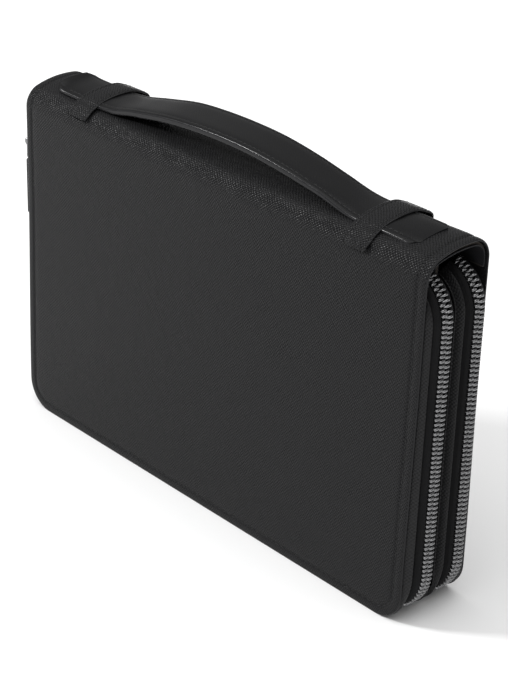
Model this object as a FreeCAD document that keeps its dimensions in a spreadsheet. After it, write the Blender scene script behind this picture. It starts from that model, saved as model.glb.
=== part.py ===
import FreeCAD, Part
import math
import os

import Sketcher
from FreeCAD import Vector

# A slim zip-round organiser case of black grained leather. It stands on the lower edges of
# its covers, with the spine and a sliding carrying handle on top. Two covers and a middle
# divider make two compartments. Each compartment is closed by its own zip, which runs down
# one end, along the base and up the other end. The zips stand out past the covers at both
# ends and are flush with them along the base.
#
# Frame: +Z up, X along the spine, front cover at -Y. The origin is on the plane the case
# stands on, under the middle of the spine and half way between the covers.

DIMENSIONS = (
    ("case_width", 268.0, "cover width along the spine"),
    ("case_depth", 38.4, "outside of one cover to outside of the other"),
    ("corner_radius", 15.0, "lower corners of the covers"),
    ("base_rise", 5.5, "height of the gussets' route along the base"),
    ("route_corner", 19.5, "lower corners of the gussets' route"),
    ("fold_height", 157.0, "height of the two lines where the covers fold"),
    ("fold_gap", 0.15, "half the crease left open at a fold line"),
    ("skin", 1.2, "cover and spine leather"),
    ("board", 1.4, "stiffener in a cover"),
    ("lining", 0.5, "lining"),
    ("crown_radius", 60.0, "cross curvature of the top of the spine"),
    ("crown_offset", 4.8, "how far the highest line of the spine is behind the middle"),
    ("crown_height", 175.6, "highest line of the spine"),
    ("front_shoulder", 9.5, "radius of the front edge of the spine"),
    ("back_shoulder", 9.5, "radius of the back edge of the spine"),
    ("zip_offset", 9.7, "middle plane of each zip from the middle of the case"),
    ("top_turn_radius", 16.5, "how tightly the gussets turn in below the spine"),
    ("top_turn_height", 144.5, "where the gussets start to turn in"),
    ("cover_turn", 33.0, "turn of the gusset at the fold of a cover, in degrees"),
    ("spine_turn", 72.0, "turn of the gusset where it ends under the spine, in degrees"),
    ("tooth_pitch", 2.25, "one side of a zip"),
    ("tooth_thickness", 1.0, "along the zip"),
    ("keeper_middle", 93.5, "middle of a keeper from the middle of the case"),
    ("keeper_width", 14.5, "keeper along the spine"),
    ("keeper_leather", 1.3, "keeper thickness"),
    ("strap_width", 23.0, "handle strap across"),
    ("strap_leather", 3.0, "handle strap thickness, two layers and a core"),
    ("strap_pivot", 82.0, "where the strap bends up beside a keeper, from the middle"),
    ("strap_knee", 30.0, "where the sloping strap meets its level middle"),
    ("strap_rise", 6.1, "how much higher the knee is than the pivot"),
    ("strap_crown", 1.5, "how much the middle of the strap rises over its knees"),
    ("tab_end", 119.5, "outer end of a strap tab from the middle of the case"),
    ("clearance", 0.3, "between the handle and what it slides on"),
)

TOOTH_SPAN = (-3.0, 1.1)      # across the zip, from the back of a tooth to the tip of its head
TOOTH_LEVELS = (2.9, 5.5)     # inner and outer face of a tooth, past the edge of the covers
BEAD_SPAN = (-2.6, -1.6)      # the cord inside the teeth
BEAD_LEVELS = (3.7, 4.7)
SLIDER_LOW = 132.5            # height of the lower end of a parked slider
SLIDER_LENGTH = 11.5
PULLER_HEIGHT = 141.3         # height of the puller's pin
PULLER_LEVEL = 8.9            # how far the pin stands out past the edge of the covers

# Cross-sections of one side of a gusset: across the zip, then out past the cover's edge.
TAPE_SECTION = (
    (3.05, 3.75), (3.05, 4.3), (4.3, 3.9), (5.5, 1.9),
    (7.25, -1.2), (6.85, -1.45), (5.05, 1.75), (3.95, 3.4),
)
LEATHER_SECTION = ((8.2, -0.9), (6.35, 2.3), (5.57, 1.85), (7.42, -1.35), (7.6, -1.8))

doc = FreeCAD.newDocument("organiser_case")
dims = doc.addObject("Spreadsheet::Sheet", "Dims")
subparts = []


def fill_sheet():
    for row, (alias, size, note) in enumerate(DIMENSIONS, start=1):
        dims.set("A%d" % row, note)
        dims.set("B%d" % row, str(size))
        dims.setAlias("B%d" % row, alias)
    doc.recompute()


fill_sheet()


def value(expression):
    """The number an expression over the sheet's aliases stands for."""
    return float(dims.evalExpression(expression))


HALF = value("case_width / 2")
DEPTH = value("case_depth")
CORNER = value("route_corner")
RISE = value("base_rise")
ZIP = value("zip_offset")
FOLD = value("fold_height")
TURN = value("top_turn_radius")
TURN_Z = value("top_turn_height")


# ---- Helpers -------------------------------------------------------------------------

def origin_plane(body, role):
    for feature in body.Origin.OriginFeatures:
        if feature.Role == role:
            return feature
    raise ValueError("no plane " + role)


def add_body(label):
    body = doc.addObject("PartDesign::Body", label)
    body.Label = label
    subparts.append(body)
    return body


def add_sketch(body, role, offset):
    """A sketch on one of the body's own origin planes, moved along its normal."""
    sketch = body.newObject("Sketcher::SketchObject", "Outline")
    sketch.AttachmentSupport = (origin_plane(body, role), [""])
    sketch.MapMode = "FlatFace"
    sketch.setExpression("AttachmentOffset.Base.z", offset)
    return sketch


def pin_point(sketch, geometry, position, point):
    """Fix a sketch point by two expressions, across and up from the sketch's origin.

    None leaves that direction free.
    """
    for kind, expression in zip(("DistanceX", "DistanceY"), point):
        if expression is None:
            continue
        start = sketch.evalExpression(expression)
        constraint = Sketcher.Constraint(kind, -1, 1, geometry, position, float(start))
        index = sketch.addConstraint(constraint)
        sketch.setExpression("Constraints[%d]" % index, expression)


def draw_polygon(sketch, points):
    """A closed polygon whose corners are pairs of expressions."""
    corners = []
    for across, up in points:
        corner = Vector(float(sketch.evalExpression(across)), float(sketch.evalExpression(up)), 0)
        corners.append(corner)
    count = len(corners)
    for i in range(count):
        sketch.addGeometry(Part.LineSegment(corners[i], corners[(i + 1) % count]), False)
    for i in range(count):
        sketch.addConstraint(Sketcher.Constraint("Coincident", i, 2, (i + 1) % count, 1))
        pin_point(sketch, i, 1, points[i])


def pad_polygon(body, role, offset, points, length):
    """A polygon padded evenly to both sides of its plane."""
    sketch = add_sketch(body, role, offset)
    draw_polygon(sketch, points)
    pad = body.newObject("PartDesign::Pad", "Pad")
    pad.Profile = sketch
    pad.SideType = "Symmetric"
    pad.setExpression("Length", length)
    return pad


def pad_box(body, low, high):
    """A block given by its lowest and highest corners, each three expressions."""
    points = [(low[0], low[1]), (high[0], low[1]), (high[0], high[1]), (low[0], high[1])]
    middle = "(%s + %s) / 2" % (low[2], high[2])
    return pad_polygon(body, "XY_Plane", middle, points, "%s - (%s)" % (high[2], low[2]))


def edges_along(shape, direction):
    """Names of the straight edges that run along a direction."""
    names = []
    for index, edge in enumerate(shape.Edges, start=1):
        if len(edge.Vertexes) == 2:
            span = edge.Vertexes[1].Point - edge.Vertexes[0].Point
            if span.Length > 0 and abs(span.normalize().dot(direction)) > 0.9999:
                names.append((index, edge.CenterOfMass))
    return names


def round_edges(body, feature, direction, wanted, radius):
    """Fillet those edges along a direction whose middle passes a test."""
    doc.recompute()
    picked = [index for index, middle in edges_along(feature.Shape, direction) if wanted(middle)]
    fillet = body.newObject("PartDesign::Fillet", "Rounding")
    fillet.Base = (feature, ["Edge%d" % index for index in picked])
    fillet.setExpression("Radius", radius)
    return fillet


def add_feature(label, shape):
    """A sub-part whose shape is worked out from the sheet in code."""
    feature = doc.addObject("Part::Feature", label)
    feature.Label = label
    feature.Shape = shape
    subparts.append(feature)
    return feature


# ---- Flat panels -----------------------------------------------------------------------

def panel(label, outline, radius, face, thickness):
    """A sheet parallel to the covers with rounded lower corners.

    outline: corners of its right half from the lowest up; face: the y of its middle plane.
    """
    body = add_body(label)
    points = outline + [("-(%s)" % across, up) for across, up in reversed(outline)]
    pad = pad_polygon(body, "XZ_Plane", "-(%s)" % face, points, thickness)
    middle_height = value("fold_height / 2")
    round_edges(body, pad, Vector(0, 1, 0), lambda middle: middle.z < middle_height, radius)
    return body


def inner_panel(label, inset, heights, top, face, thickness):
    """A panel inside the gussets' route, its upper corners cut along their top turn.

    heights: of the corners of that cut.
    """
    centre = "Dims.case_width / 2 - Dims.top_turn_radius"
    side = "Dims.case_width / 2 - %s" % inset
    outline = [(side, "Dims.base_rise + %s" % inset), (side, "Dims.top_turn_height")]
    for height in heights:
        reach = "sqrt((Dims.top_turn_radius - %s)^2 - (%s - Dims.top_turn_height)^2)" % (inset, height)
        outline.append(("%s + %s" % (centre, reach), height))
    if top != heights[-1]:
        outline.append((outline[-1][0], top))
    return panel(label, outline, "Dims.route_corner - %s" % inset, face, thickness)


def cover_panels(side, sign):
    """Leather, stiffener and lining of one cover; sign is -1 at the front."""
    outside = "Dims.case_depth / 2"
    leather = "%d * (%s - Dims.skin / 2)" % (sign, outside)
    board = "%d * (%s - Dims.skin - Dims.board / 2)" % (sign, outside)
    lining = "%d * (%s - Dims.skin - Dims.board - Dims.lining / 2)" % (sign, outside)
    half = "Dims.case_width / 2"
    whole = [(half, "0"), (half, "Dims.fold_height - Dims.fold_gap")]
    board_top = "Dims.fold_height - 4"
    lining_top = "Dims.fold_height - 3"
    panel(side + "_cover_leather", whole, "Dims.corner_radius", leather, "Dims.skin")
    inner_panel(side + "_cover_board", "1.9", [board_top], board_top, board, "Dims.board")
    inner_panel(side + "_cover_lining", "3", [lining_top], lining_top, lining, "Dims.lining")


def pocket_panel(label, sign, layer, across, low, high):
    """A flat sleeve sewn to a lining; layer counts outward from the cover lining."""
    body = add_body(label)
    depth = "Dims.case_depth / 2 - Dims.skin - Dims.board - Dims.lining - %g" % (0.3 + 0.6 * layer)
    points = [(str(across[0]), str(low)), (str(across[1]), str(low)),
              (str(across[1]), str(high)), (str(across[0]), str(high))]
    pad = pad_polygon(body, "XZ_Plane", "-(%d * (%s))" % (sign, depth), points, "0.6")
    round_edges(body, pad, Vector(0, 1, 0), lambda middle: True, "3")
    return body


def divider_panels():
    """The middle wall: a board between two linings, hung from the spine."""
    cut = ["Dims.top_turn_height + %g" % rise for rise in (8.6, 13.8)]
    for label, face, thickness in (
            ("divider_board", "0", "1.2"),
            ("divider_lining_front", "-0.85", "Dims.lining"),
            ("divider_lining_back", "0.85", "Dims.lining")):
        inner_panel(label, "1.9", cut, "Dims.fold_height + 15.5", face, thickness)
    body = add_body("divider_pocket")
    points = [("-110", "12"), ("110", "12"), ("110", "80"), ("-110", "80")]
    pad = pad_polygon(body, "XZ_Plane", "-1.4", points, "0.6")
    round_edges(body, pad, Vector(0, 1, 0), lambda middle: True, "3")


# ---- Spine -----------------------------------------------------------------------------

def arch_points(inset):
    """Corners of the spine's cross-section, moved in by inset: y and z of each."""
    crown = Vector(0, value("crown_offset"), value("crown_height - crown_radius"))
    reach = value("crown_radius") - inset
    ends = []
    for side, radius in ((-1, value("front_shoulder")), (1, value("back_shoulder"))):
        across = side * (DEPTH / 2 - radius) - crown.y
        rise = math.sqrt((value("crown_radius") - radius) ** 2 - across ** 2)
        middle = crown + Vector(0, across, rise)
        outward = (middle - crown).normalize()
        small = radius - inset
        wall = middle + Vector(0, side * small, 0)
        half_turn = (Vector(0, side, 0) + outward).normalize()
        ends.append((wall, middle + half_turn * small, crown + outward * reach))
    return ends[0], crown + Vector(0, 0, reach), ends[1]


def arch_curves(inset, low):
    """The spine's cross-section as curves in a row from the front wall to the back wall."""
    front, top, back = arch_points(inset)
    return [
        Part.LineSegment(Vector(0, front[0].y, low), front[0]),
        Part.Arc(front[0], front[1], front[2]),
        Part.Arc(front[2], top, back[2]),
        Part.Arc(back[2], back[1], back[0]),
        Part.LineSegment(back[0], Vector(0, back[0].y, low)),
    ]


def arch_layer(label, outer, thickness, low, half_length):
    """One layer of the spine, bent over the top of the case."""
    outside = arch_curves(outer, low)
    inside = arch_curves(outer + thickness, low)
    closing = [
        Part.LineSegment(outside[-1].EndPoint, inside[-1].EndPoint),
        Part.LineSegment(inside[0].StartPoint, outside[0].StartPoint),
    ]
    edges = [curve.toShape() for curve in outside + [closing[0]] + inside[::-1] + [closing[1]]]
    face = Part.Face(Part.Wire(Part.__sortEdges__(edges)))
    shape = face.extrude(Vector(2 * half_length, 0, 0))
    shape.translate(Vector(-half_length, 0, 0))
    return add_feature(label, shape)


def spine():
    skin = value("skin")
    lining = value("lining")
    stiffener = 1.0
    arch_layer("spine_leather", 0, skin, FOLD + value("fold_gap"), HALF)
    arch_layer("spine_stiffener", skin, stiffener, FOLD + 4.2, HALF - 2)
    arch_layer("spine_lining", skin + stiffener, lining, FOLD + 5, HALF - 1)


# ---- Gussets and zip tapes -------------------------------------------------------------

def draw_route(sketch, turn):
    """Half of the gussets' route: base, corner, end and top turn."""
    low = "Dims.base_rise"
    side = "Dims.case_width / 2"
    corner = ("%s - Dims.route_corner" % side, "%s + Dims.route_corner" % low)
    turn_centre = ("%s - Dims.top_turn_radius" % side, "Dims.top_turn_height")
    up = Vector(0, 0, 1)
    corner_middle = Vector(HALF - CORNER, RISE + CORNER, 0)
    turn_middle = Vector(HALF - TURN, TURN_Z, 0)
    sweep = math.radians(value(turn))
    sketch.addGeometry(Part.LineSegment(Vector(0, RISE, 0), Vector(HALF - CORNER, RISE, 0)), False)
    sketch.addGeometry(Part.ArcOfCircle(Part.Circle(corner_middle, up, CORNER), -math.pi / 2, 0), False)
    sketch.addGeometry(Part.LineSegment(Vector(HALF, RISE + CORNER, 0), Vector(HALF, TURN_Z, 0)), False)
    sketch.addGeometry(Part.ArcOfCircle(Part.Circle(turn_middle, up, TURN), 0, sweep), False)
    for first in range(3):
        sketch.addConstraint(Sketcher.Constraint("Coincident", first, 2, first + 1, 1))
    pin_point(sketch, 0, 1, ("0", low))
    pin_point(sketch, 1, 3, corner)
    pin_point(sketch, 1, 1, (corner[0], low))
    pin_point(sketch, 1, 2, (None, corner[1]))
    pin_point(sketch, 3, 3, turn_centre)
    pin_point(sketch, 3, 1, (side, turn_centre[1]))
    end_height = "Dims.top_turn_height + Dims.top_turn_radius * sin(Dims.%s * 1 deg)" % turn
    pin_point(sketch, 3, 2, (None, end_height))


def gusset_strip(label, zip_sign, side, section, turn):
    """A strip that runs round three sides of a compartment.

    zip_sign: which compartment; side: which half of it, seen from its zip.
    """
    body = add_body(label)
    profile = add_sketch(body, "YZ_Plane", "0")
    points = []
    for across, out in section:
        y = "%d * Dims.zip_offset + %g" % (zip_sign, side * across)
        points.append((y, "Dims.base_rise - %g" % out))
    draw_polygon(profile, points)
    route = add_sketch(body, "XZ_Plane", "0")
    draw_route(route, turn)
    pipe = body.newObject("PartDesign::AdditivePipe", "Strip")
    pipe.Profile = profile
    pipe.Spine = (route, [])
    mirrored = body.newObject("PartDesign::Mirrored", "BothEnds")
    mirrored.Originals = [pipe]
    mirrored.MirrorPlane = (origin_plane(body, "YZ_Plane"), [""])
    body.Tip = mirrored
    return body


def leather_section(foot):
    """The gusset leather with a foot that reaches the panel it is sewn to."""
    return LEATHER_SECTION + ((foot, -1.8), (foot, -0.9))


def top_end(section, zip_sign, side, end):
    """The last stretch of a gusset strip, turned in below the spine at one end."""
    start = value("cover_turn")
    sweep = value("spine_turn") - start
    corners = []
    for across, out in section:
        y = zip_sign * ZIP + side * across
        corners.append(Vector(end * (HALF + out), y, TURN_Z))
    wire = Part.makePolygon(corners + [corners[0]])
    centre = Vector(end * (HALF - TURN), 0, TURN_Z)
    axis = Vector(0, -end, 0)
    face = Part.Face(wire)
    face.rotate(centre, axis, start)
    return face.revolve(centre, axis, sweep)


def top_ends(label, section):
    """Both ends of the outer strips of both compartments."""
    solids = []
    for zip_sign in (-1, 1):
        for end in (-1, 1):
            solids.append(top_end(section, zip_sign, zip_sign, end))
    add_feature(label, Part.makeCompound(solids))


def gussets():
    for side_name, zip_sign in (("front", -1), ("back", 1)):
        outer = leather_section(8.3)
        inner = leather_section(8.6)
        gusset_strip(side_name + "_gusset_outer", zip_sign, zip_sign, outer, "cover_turn")
        gusset_strip(side_name + "_zip_tape_outer", zip_sign, zip_sign, TAPE_SECTION, "cover_turn")
        gusset_strip(side_name + "_gusset_inner", zip_sign, -zip_sign, inner, "spine_turn")
        gusset_strip(side_name + "_zip_tape_inner", zip_sign, -zip_sign, TAPE_SECTION, "spine_turn")
    top_ends("gusset_top_ends", leather_section(8.3))
    top_ends("zip_tape_top_ends", TAPE_SECTION)


# ---- Zip teeth -------------------------------------------------------------------------

CHAIN_LEVEL = sum(TOOTH_LEVELS) / 2
CHAIN_RADIUS = CORNER + CHAIN_LEVEL
CHAIN_START = SLIDER_LOW + 7.6     # the teeth at the parked slider end inside it


def chain_runs():
    """The zip's five runs: length, and a function from distance to place and direction.

    A place is a point on the gussets' route and the outward direction there.
    """
    side_run = CHAIN_START - RISE - CORNER
    corner_run = CHAIN_RADIUS * math.pi / 2
    end_run = TURN_Z - RISE - CORNER
    base_low = Vector(-HALF + CORNER, 0, RISE)

    def left(distance):
        return Vector(-HALF, 0, CHAIN_START - distance), Vector(-1, 0, 0)

    def corner(end):
        def place(distance):
            angle = distance / CHAIN_RADIUS
            angle = angle if end < 0 else math.pi / 2 - angle
            out = Vector(end * math.cos(angle), 0, -math.sin(angle))
            return Vector(end * (HALF - CORNER), 0, RISE + CORNER) + out * CORNER, out
        return place

    def base(distance):
        return base_low + Vector(distance, 0, 0), Vector(0, 0, -1)

    def right(distance):
        if distance <= end_run:
            return Vector(HALF, 0, RISE + CORNER + distance), Vector(1, 0, 0)
        angle = (distance - end_run) / (TURN + CHAIN_LEVEL)
        out = Vector(math.cos(angle), 0, math.sin(angle))
        return Vector(HALF - TURN, 0, TURN_Z) + out * TURN, out

    return ((side_run, left), (corner_run, corner(-1)), (2 * (HALF - CORNER), base),
            (corner_run, corner(1)), (end_run, right))


def turn_run(turn):
    """Length of the chain along the top turn, up to a turn given in degrees."""
    return math.radians(value(turn)) * (TURN + CHAIN_LEVEL)


def ring(place, distance, span, levels, middle, mirror):
    """The four corners of a section across the chain."""
    point, out = place(distance)
    corners = []
    for across, level in ((0, 0), (1, 0), (1, 1), (0, 1)):
        y = middle + mirror * span[across]
        corners.append(point + out * levels[level] + Vector(0, y, 0))
    return corners


def comb(place, stretches, middle, mirror):
    """One solid of teeth on their cord; a stretch is (start, end, is it a tooth)."""
    faces = []

    def section(distance, tooth):
        span = TOOTH_SPAN if tooth else BEAD_SPAN
        levels = TOOTH_LEVELS if tooth else BEAD_LEVELS
        return ring(place, distance, span, levels, middle, mirror)

    for start, end, tooth in stretches:
        first = section(start, tooth)
        last = section(end, tooth)
        for i in range(4):
            j = (i + 1) % 4
            faces.append(Part.Face(Part.makePolygon([first[i], first[j], last[j], last[i], first[i]])))
    for distance, tooth in ((stretches[0][0], stretches[0][2]), (stretches[-1][1], stretches[-1][2])):
        cap = section(distance, tooth)
        faces.append(Part.Face(Part.makePolygon(cap + [cap[0]])))
    for start, end, tooth in stretches[1:]:
        outer = section(start, True)
        inner = section(start, False)
        step = Part.Face(Part.makePolygon(outer + [outer[0]]))
        hole = Part.Face(Part.makePolygon(inner + [inner[0]]))
        faces.append(step.cut(hole).Faces[0])
    shell = Part.makeShell(faces)
    shell.sewShape()
    solid = Part.makeSolid(shell if shell.ShapeType == "Shell" else shell.Shells[0])
    if solid.Volume < 0:
        solid.reverse()
    return solid


def stretches_of(first, last, offset, run_start):
    """Teeth and the cord between them along one run, in the run's own distance."""
    pitch = value("tooth_pitch")
    half_tooth = value("tooth_thickness") / 2
    start_index = math.ceil((first + half_tooth - offset) / pitch)
    end_index = math.floor((last - half_tooth - offset) / pitch)
    stretches = []
    for index in range(start_index, end_index + 1):
        centre = offset + index * pitch - run_start
        if stretches:
            stretches.append((stretches[-1][1], centre - half_tooth, False))
        stretches.append((centre - half_tooth, centre + half_tooth, True))
    return stretches


def zip_half(label, zip_sign, side, extra):
    """Half of a zip: five combs in a row; extra is how far it goes up the top turn."""
    offset = 0.8 if side == zip_sign else 0.8 + value("tooth_pitch") / 2
    combs = []
    run_start = 0.0
    runs = chain_runs()
    for index, (length, place) in enumerate(runs):
        if index == len(runs) - 1:
            length += extra
        stretches = stretches_of(run_start + 0.05, run_start + length - 0.05, offset, run_start)
        combs.append(comb(place, stretches, zip_sign * ZIP, -side))
        run_start += length
    add_feature(label, Part.makeCompound(combs))


def top_teeth():
    """The last teeth of the outer halves, fixed under the spine."""
    combs = []
    runs = chain_runs()
    run_start = sum(length for length, place in runs[:-1])
    start = runs[-1][0] + turn_run("cover_turn")
    end = runs[-1][0] + turn_run("spine_turn")
    for zip_sign in (-1, 1):
        stretches = stretches_of(run_start + start + 0.05, run_start + end, 0.8, run_start)
        combs.append(comb(runs[-1][1], stretches, zip_sign * ZIP, -zip_sign))
    add_feature("zip_teeth_top_ends", Part.makeCompound(combs))


def stop_block(zip_sign, side, end, angle, length, across):
    """A small metal clamp at the end of a zip half, square to the route."""
    low, high = TOOTH_LEVELS
    centre = Vector(end * (HALF - TURN), 0, TURN_Z)
    middle = zip_sign * ZIP
    y = sorted((middle + side * across[0], middle + side * across[1]))
    x = sorted((end * (HALF + low), end * (HALF + high)))
    block = Part.makeBox(x[1] - x[0], y[1] - y[0], length, Vector(x[0], y[0], TURN_Z))
    block.rotate(centre, Vector(0, -end, 0), angle)
    return block


def zips():
    for side_name, zip_sign in (("front", -1), ("back", 1)):
        zip_half(side_name + "_zip_teeth_outer", zip_sign, zip_sign, turn_run("cover_turn"))
        zip_half(side_name + "_zip_teeth_inner", zip_sign, -zip_sign, turn_run("spine_turn"))
    top_teeth()
    for side_name, sign in (("front", -1), ("back", 1)):
        add_feature(side_name + "_zip_top_stop", stop_block(sign, sign, -1, 7, 2.0, (0.6, 3.0)))
    inner = [stop_block(sign, -sign, -1, 7, 2.0, (0.6, 3.0)) for sign in (-1, 1)]
    add_feature("zip_top_stops_inner", Part.makeCompound(inner))
    bottom_angle = value("spine_turn") + 1
    bottom = [stop_block(sign, 1, 1, bottom_angle, 2.2, (-3.0, 3.0)) for sign in (-1, 1)]
    add_feature("zip_bottom_stops", Part.makeCompound(bottom))


# ---- Zip sliders -----------------------------------------------------------------------

def out_x(level):
    """x of a level past the left edge of the covers, as an expression."""
    return "-(Dims.case_width / 2 + %g)" % level


def across_zip(zip_sign, distance):
    return "%d * Dims.zip_offset + %g" % (zip_sign, distance)


def slider_box(body, zip_sign, levels, across, heights):
    low = (out_x(levels[1]), across_zip(zip_sign, across[0]), "%g" % heights[0])
    high = (out_x(levels[0]), across_zip(zip_sign, across[1]), "%g" % heights[1])
    return pad_box(body, low, high)


def slider(name, zip_sign):
    """The slider body: two channelled plates joined by a neck, and a bridge on top."""
    body = add_body(name + "_zip_slider")
    top = SLIDER_LOW + SLIDER_LENGTH
    whole = (SLIDER_LOW, top)
    slider_box(body, zip_sign, (1.45, 6.95), (-0.95, 0.95), (top - 3.4, top))
    slider_box(body, zip_sign, (5.75, 6.95), (-4.4, 4.4), whole)
    slider_box(body, zip_sign, (1.45, 2.65), (-4.4, 4.4), whole)
    for side in (-1, 1):
        slider_box(body, zip_sign, (4.75, 5.8), sorted((side * 3.3, side * 4.4)), whole)
        slider_box(body, zip_sign, (2.6, 3.25), sorted((side * 3.3, side * 3.9)), whole)
    bridge = slider_box(body, zip_sign, (6.9, PULLER_LEVEL + 1.7), (-1.5, 1.5),
                        (PULLER_HEIGHT - 4.0, PULLER_HEIGHT + 2.2))
    round_edges(body, bridge, Vector(0, 1, 0),
                lambda middle: middle.x < -HALF - PULLER_LEVEL, "1.4")
    hole = add_sketch(body, "XZ_Plane", "-(%s)" % across_zip(zip_sign, 0))
    circle_at(hole, out_x(PULLER_LEVEL), "%g" % PULLER_HEIGHT, "0.85")
    pocket = body.newObject("PartDesign::Pocket", "PinHole")
    pocket.Profile = hole
    pocket.SideType = "Symmetric"
    pocket.Length = 5


def circle_at(sketch, across, up, radius):
    centre = Vector(float(sketch.evalExpression(across)), float(sketch.evalExpression(up)), 0)
    size = float(sketch.evalExpression(radius))
    sketch.addGeometry(Part.Circle(centre, Vector(0, 0, 1), size), False)
    pin_point(sketch, 0, 3, (across, up))
    index = sketch.addConstraint(Sketcher.Constraint("Radius", 0, size))
    sketch.setExpression("Constraints[%d]" % index, radius)


def puller(name, zip_sign):
    """A pin through the bridge, two eyes, and a tongue for the leather pull."""
    body = add_body(name + "_zip_puller")
    plane = "-(%s)" % across_zip(zip_sign, 0)
    for side in (-1, 1):
        eye = add_sketch(body, "XZ_Plane", "-(%s)" % across_zip(zip_sign, side * 2.3))
        circle_at(eye, out_x(PULLER_LEVEL), "%g" % PULLER_HEIGHT, "1.9")
        disc = body.newObject("PartDesign::Pad", "Eye")
        disc.Profile = eye
        disc.SideType = "Symmetric"
        disc.Length = 1.0
        if side < 0:
            axle = add_sketch(body, "XZ_Plane", plane)
            circle_at(axle, out_x(PULLER_LEVEL), "%g" % PULLER_HEIGHT, "0.8")
            pin = body.newObject("PartDesign::Pad", "Pin")
            pin.Profile = axle
            pin.SideType = "Symmetric"
            pin.Length = 5.6
    for side in (-1, 1):
        arm = sorted((side * 1.8, side * 2.8))
        slider_box(body, zip_sign, (PULLER_LEVEL - 0.6, PULLER_LEVEL + 0.6), arm,
                   (PULLER_HEIGHT - 8.0, PULLER_HEIGHT - 1.0))
    slider_box(body, zip_sign, (PULLER_LEVEL - 0.6, PULLER_LEVEL + 0.6), (-2.8, 2.8),
               (PULLER_HEIGHT - 8.4, PULLER_HEIGHT - 6.0))
    slider_box(body, zip_sign, (PULLER_LEVEL - 0.45, PULLER_LEVEL + 0.45), (-1.9, 1.9),
               (PULLER_HEIGHT - 20.0, PULLER_HEIGHT - 8.0))


def leather_pull(name, zip_sign):
    """The leather tag sewn over the puller's tongue, open where the tongue goes in."""
    body = add_body(name + "_zip_pull_leather")
    top = PULLER_HEIGHT - 9.0
    solid = slider_box(body, zip_sign, (PULLER_LEVEL - 1.0, PULLER_LEVEL + 1.0), (-3.1, 3.1),
                       (top - 30.0, top))
    round_edges(body, solid, Vector(1, 0, 0), lambda middle: True, "1.8")
    slot = add_sketch(body, "XY_Plane", "%g" % top)
    low = (out_x(PULLER_LEVEL + 0.47), across_zip(zip_sign, -1.92))
    high = (out_x(PULLER_LEVEL - 0.47), across_zip(zip_sign, 1.92))
    draw_polygon(slot, [low, (high[0], low[1]), high, (low[0], high[1])])
    pocket = body.newObject("PartDesign::Pocket", "TongueSlot")
    pocket.Profile = slot
    pocket.SideType = "Symmetric"
    pocket.Length = 2 * 11.05


# ---- Handle ----------------------------------------------------------------------------

def keeper(label, side):
    """A leather loop over the strap, sewn down on both shoulders of the spine."""
    skin = value("keeper_leather")
    lift = value("strap_leather + clearance * 2")
    half_strap = value("strap_width / 2 + clearance")
    front, _, back = arch_points(-0.05)
    crown = Vector(0, value("crown_offset"), value("crown_height - crown_radius"))
    over = value("crown_radius") + lift

    def above(y, radius):
        return Vector(0, y, crown.z + math.sqrt(radius ** 2 - (y - crown.y) ** 2))

    def loop(extra):
        """Front foot, front slope, top, back slope, back foot."""
        feet = []
        for end, shoulder in ((-1, value("front_shoulder")), (1, value("back_shoulder"))):
            wall = front[0] if end < 0 else back[0]
            centre = Vector(0, wall.y - end * (shoulder + 0.05), wall.z)
            radius = shoulder + 0.05 + extra
            points = []
            for degrees in (25, 42, 58):
                angle = math.radians(degrees)
                points.append(centre + Vector(0, end * math.cos(angle), math.sin(angle)) * radius)
            feet.append(points)
        shoulders = [above(end * (half_strap + extra * 0.8), over + extra) for end in (-1, 1)]
        summit = above(crown.y, over + extra)
        return [
            Part.Arc(feet[0][0], feet[0][1], feet[0][2]),
            Part.LineSegment(feet[0][2], shoulders[0]),
            Part.Arc(shoulders[0], summit, shoulders[1]),
            Part.LineSegment(shoulders[1], feet[1][2]),
            Part.Arc(feet[1][2], feet[1][1], feet[1][0]),
        ]

    inside = loop(0)
    outside = loop(skin)
    closing = [
        Part.LineSegment(inside[0].StartPoint, outside[0].StartPoint),
        Part.LineSegment(inside[-1].EndPoint, outside[-1].EndPoint),
    ]
    edges = [curve.toShape() for curve in inside + outside + closing]
    face = Part.Face(Part.Wire(Part.__sortEdges__(edges)))
    width = value("keeper_width")
    shape = face.extrude(Vector(width, 0, 0))
    shape.translate(Vector(side * value("keeper_middle") - width / 2, 0, 0))
    add_feature(label, shape)


def tab(label, side):
    """The level end of the strap: it follows the crown of the spine under the keeper."""
    crown_y = value("crown_offset")
    crown_z = value("crown_height - crown_radius")
    low = value("crown_radius + clearance")
    high = low + value("strap_leather")
    half = value("strap_width / 2")

    def at(y, radius):
        return Vector(0, y, crown_z + math.sqrt(radius ** 2 - (y - crown_y) ** 2))

    edges = [
        Part.Arc(at(-half, low), at(crown_y, low), at(half, low)),
        Part.LineSegment(at(half, low), at(half, high)),
        Part.Arc(at(half, high), at(crown_y, high), at(-half, high)),
        Part.LineSegment(at(-half, high), at(-half, low)),
    ]
    face = Part.Face(Part.Wire([curve.toShape() for curve in edges]))
    start = value("strap_pivot") + knuckle()
    length = value("tab_end") - start
    shape = face.extrude(Vector(length, 0, 0))
    shape.translate(Vector(start, 0, 0))
    corners = []
    for index, edge in enumerate(shape.Edges):
        middle = edge.CenterOfMass
        if abs(middle.x - value("tab_end")) < 0.01 and edge.Length < value("strap_leather") + 0.5:
            corners.append(edge)
    shape = shape.makeChamfer(3.0, corners)
    if side < 0:
        shape = shape.mirror(Vector(0, 0, 0), Vector(1, 0, 0))
    add_feature(label, shape)


def knuckle():
    """How far a flat strap end stays from the axis that the next stretch turns about."""
    return value("strap_leather / 2") + 0.1


def strap_axis():
    """Height of the middle of the strap's thickness where it bends beside a keeper."""
    return value("crown_height + clearance + strap_leather / 2") + 0.1


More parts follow.
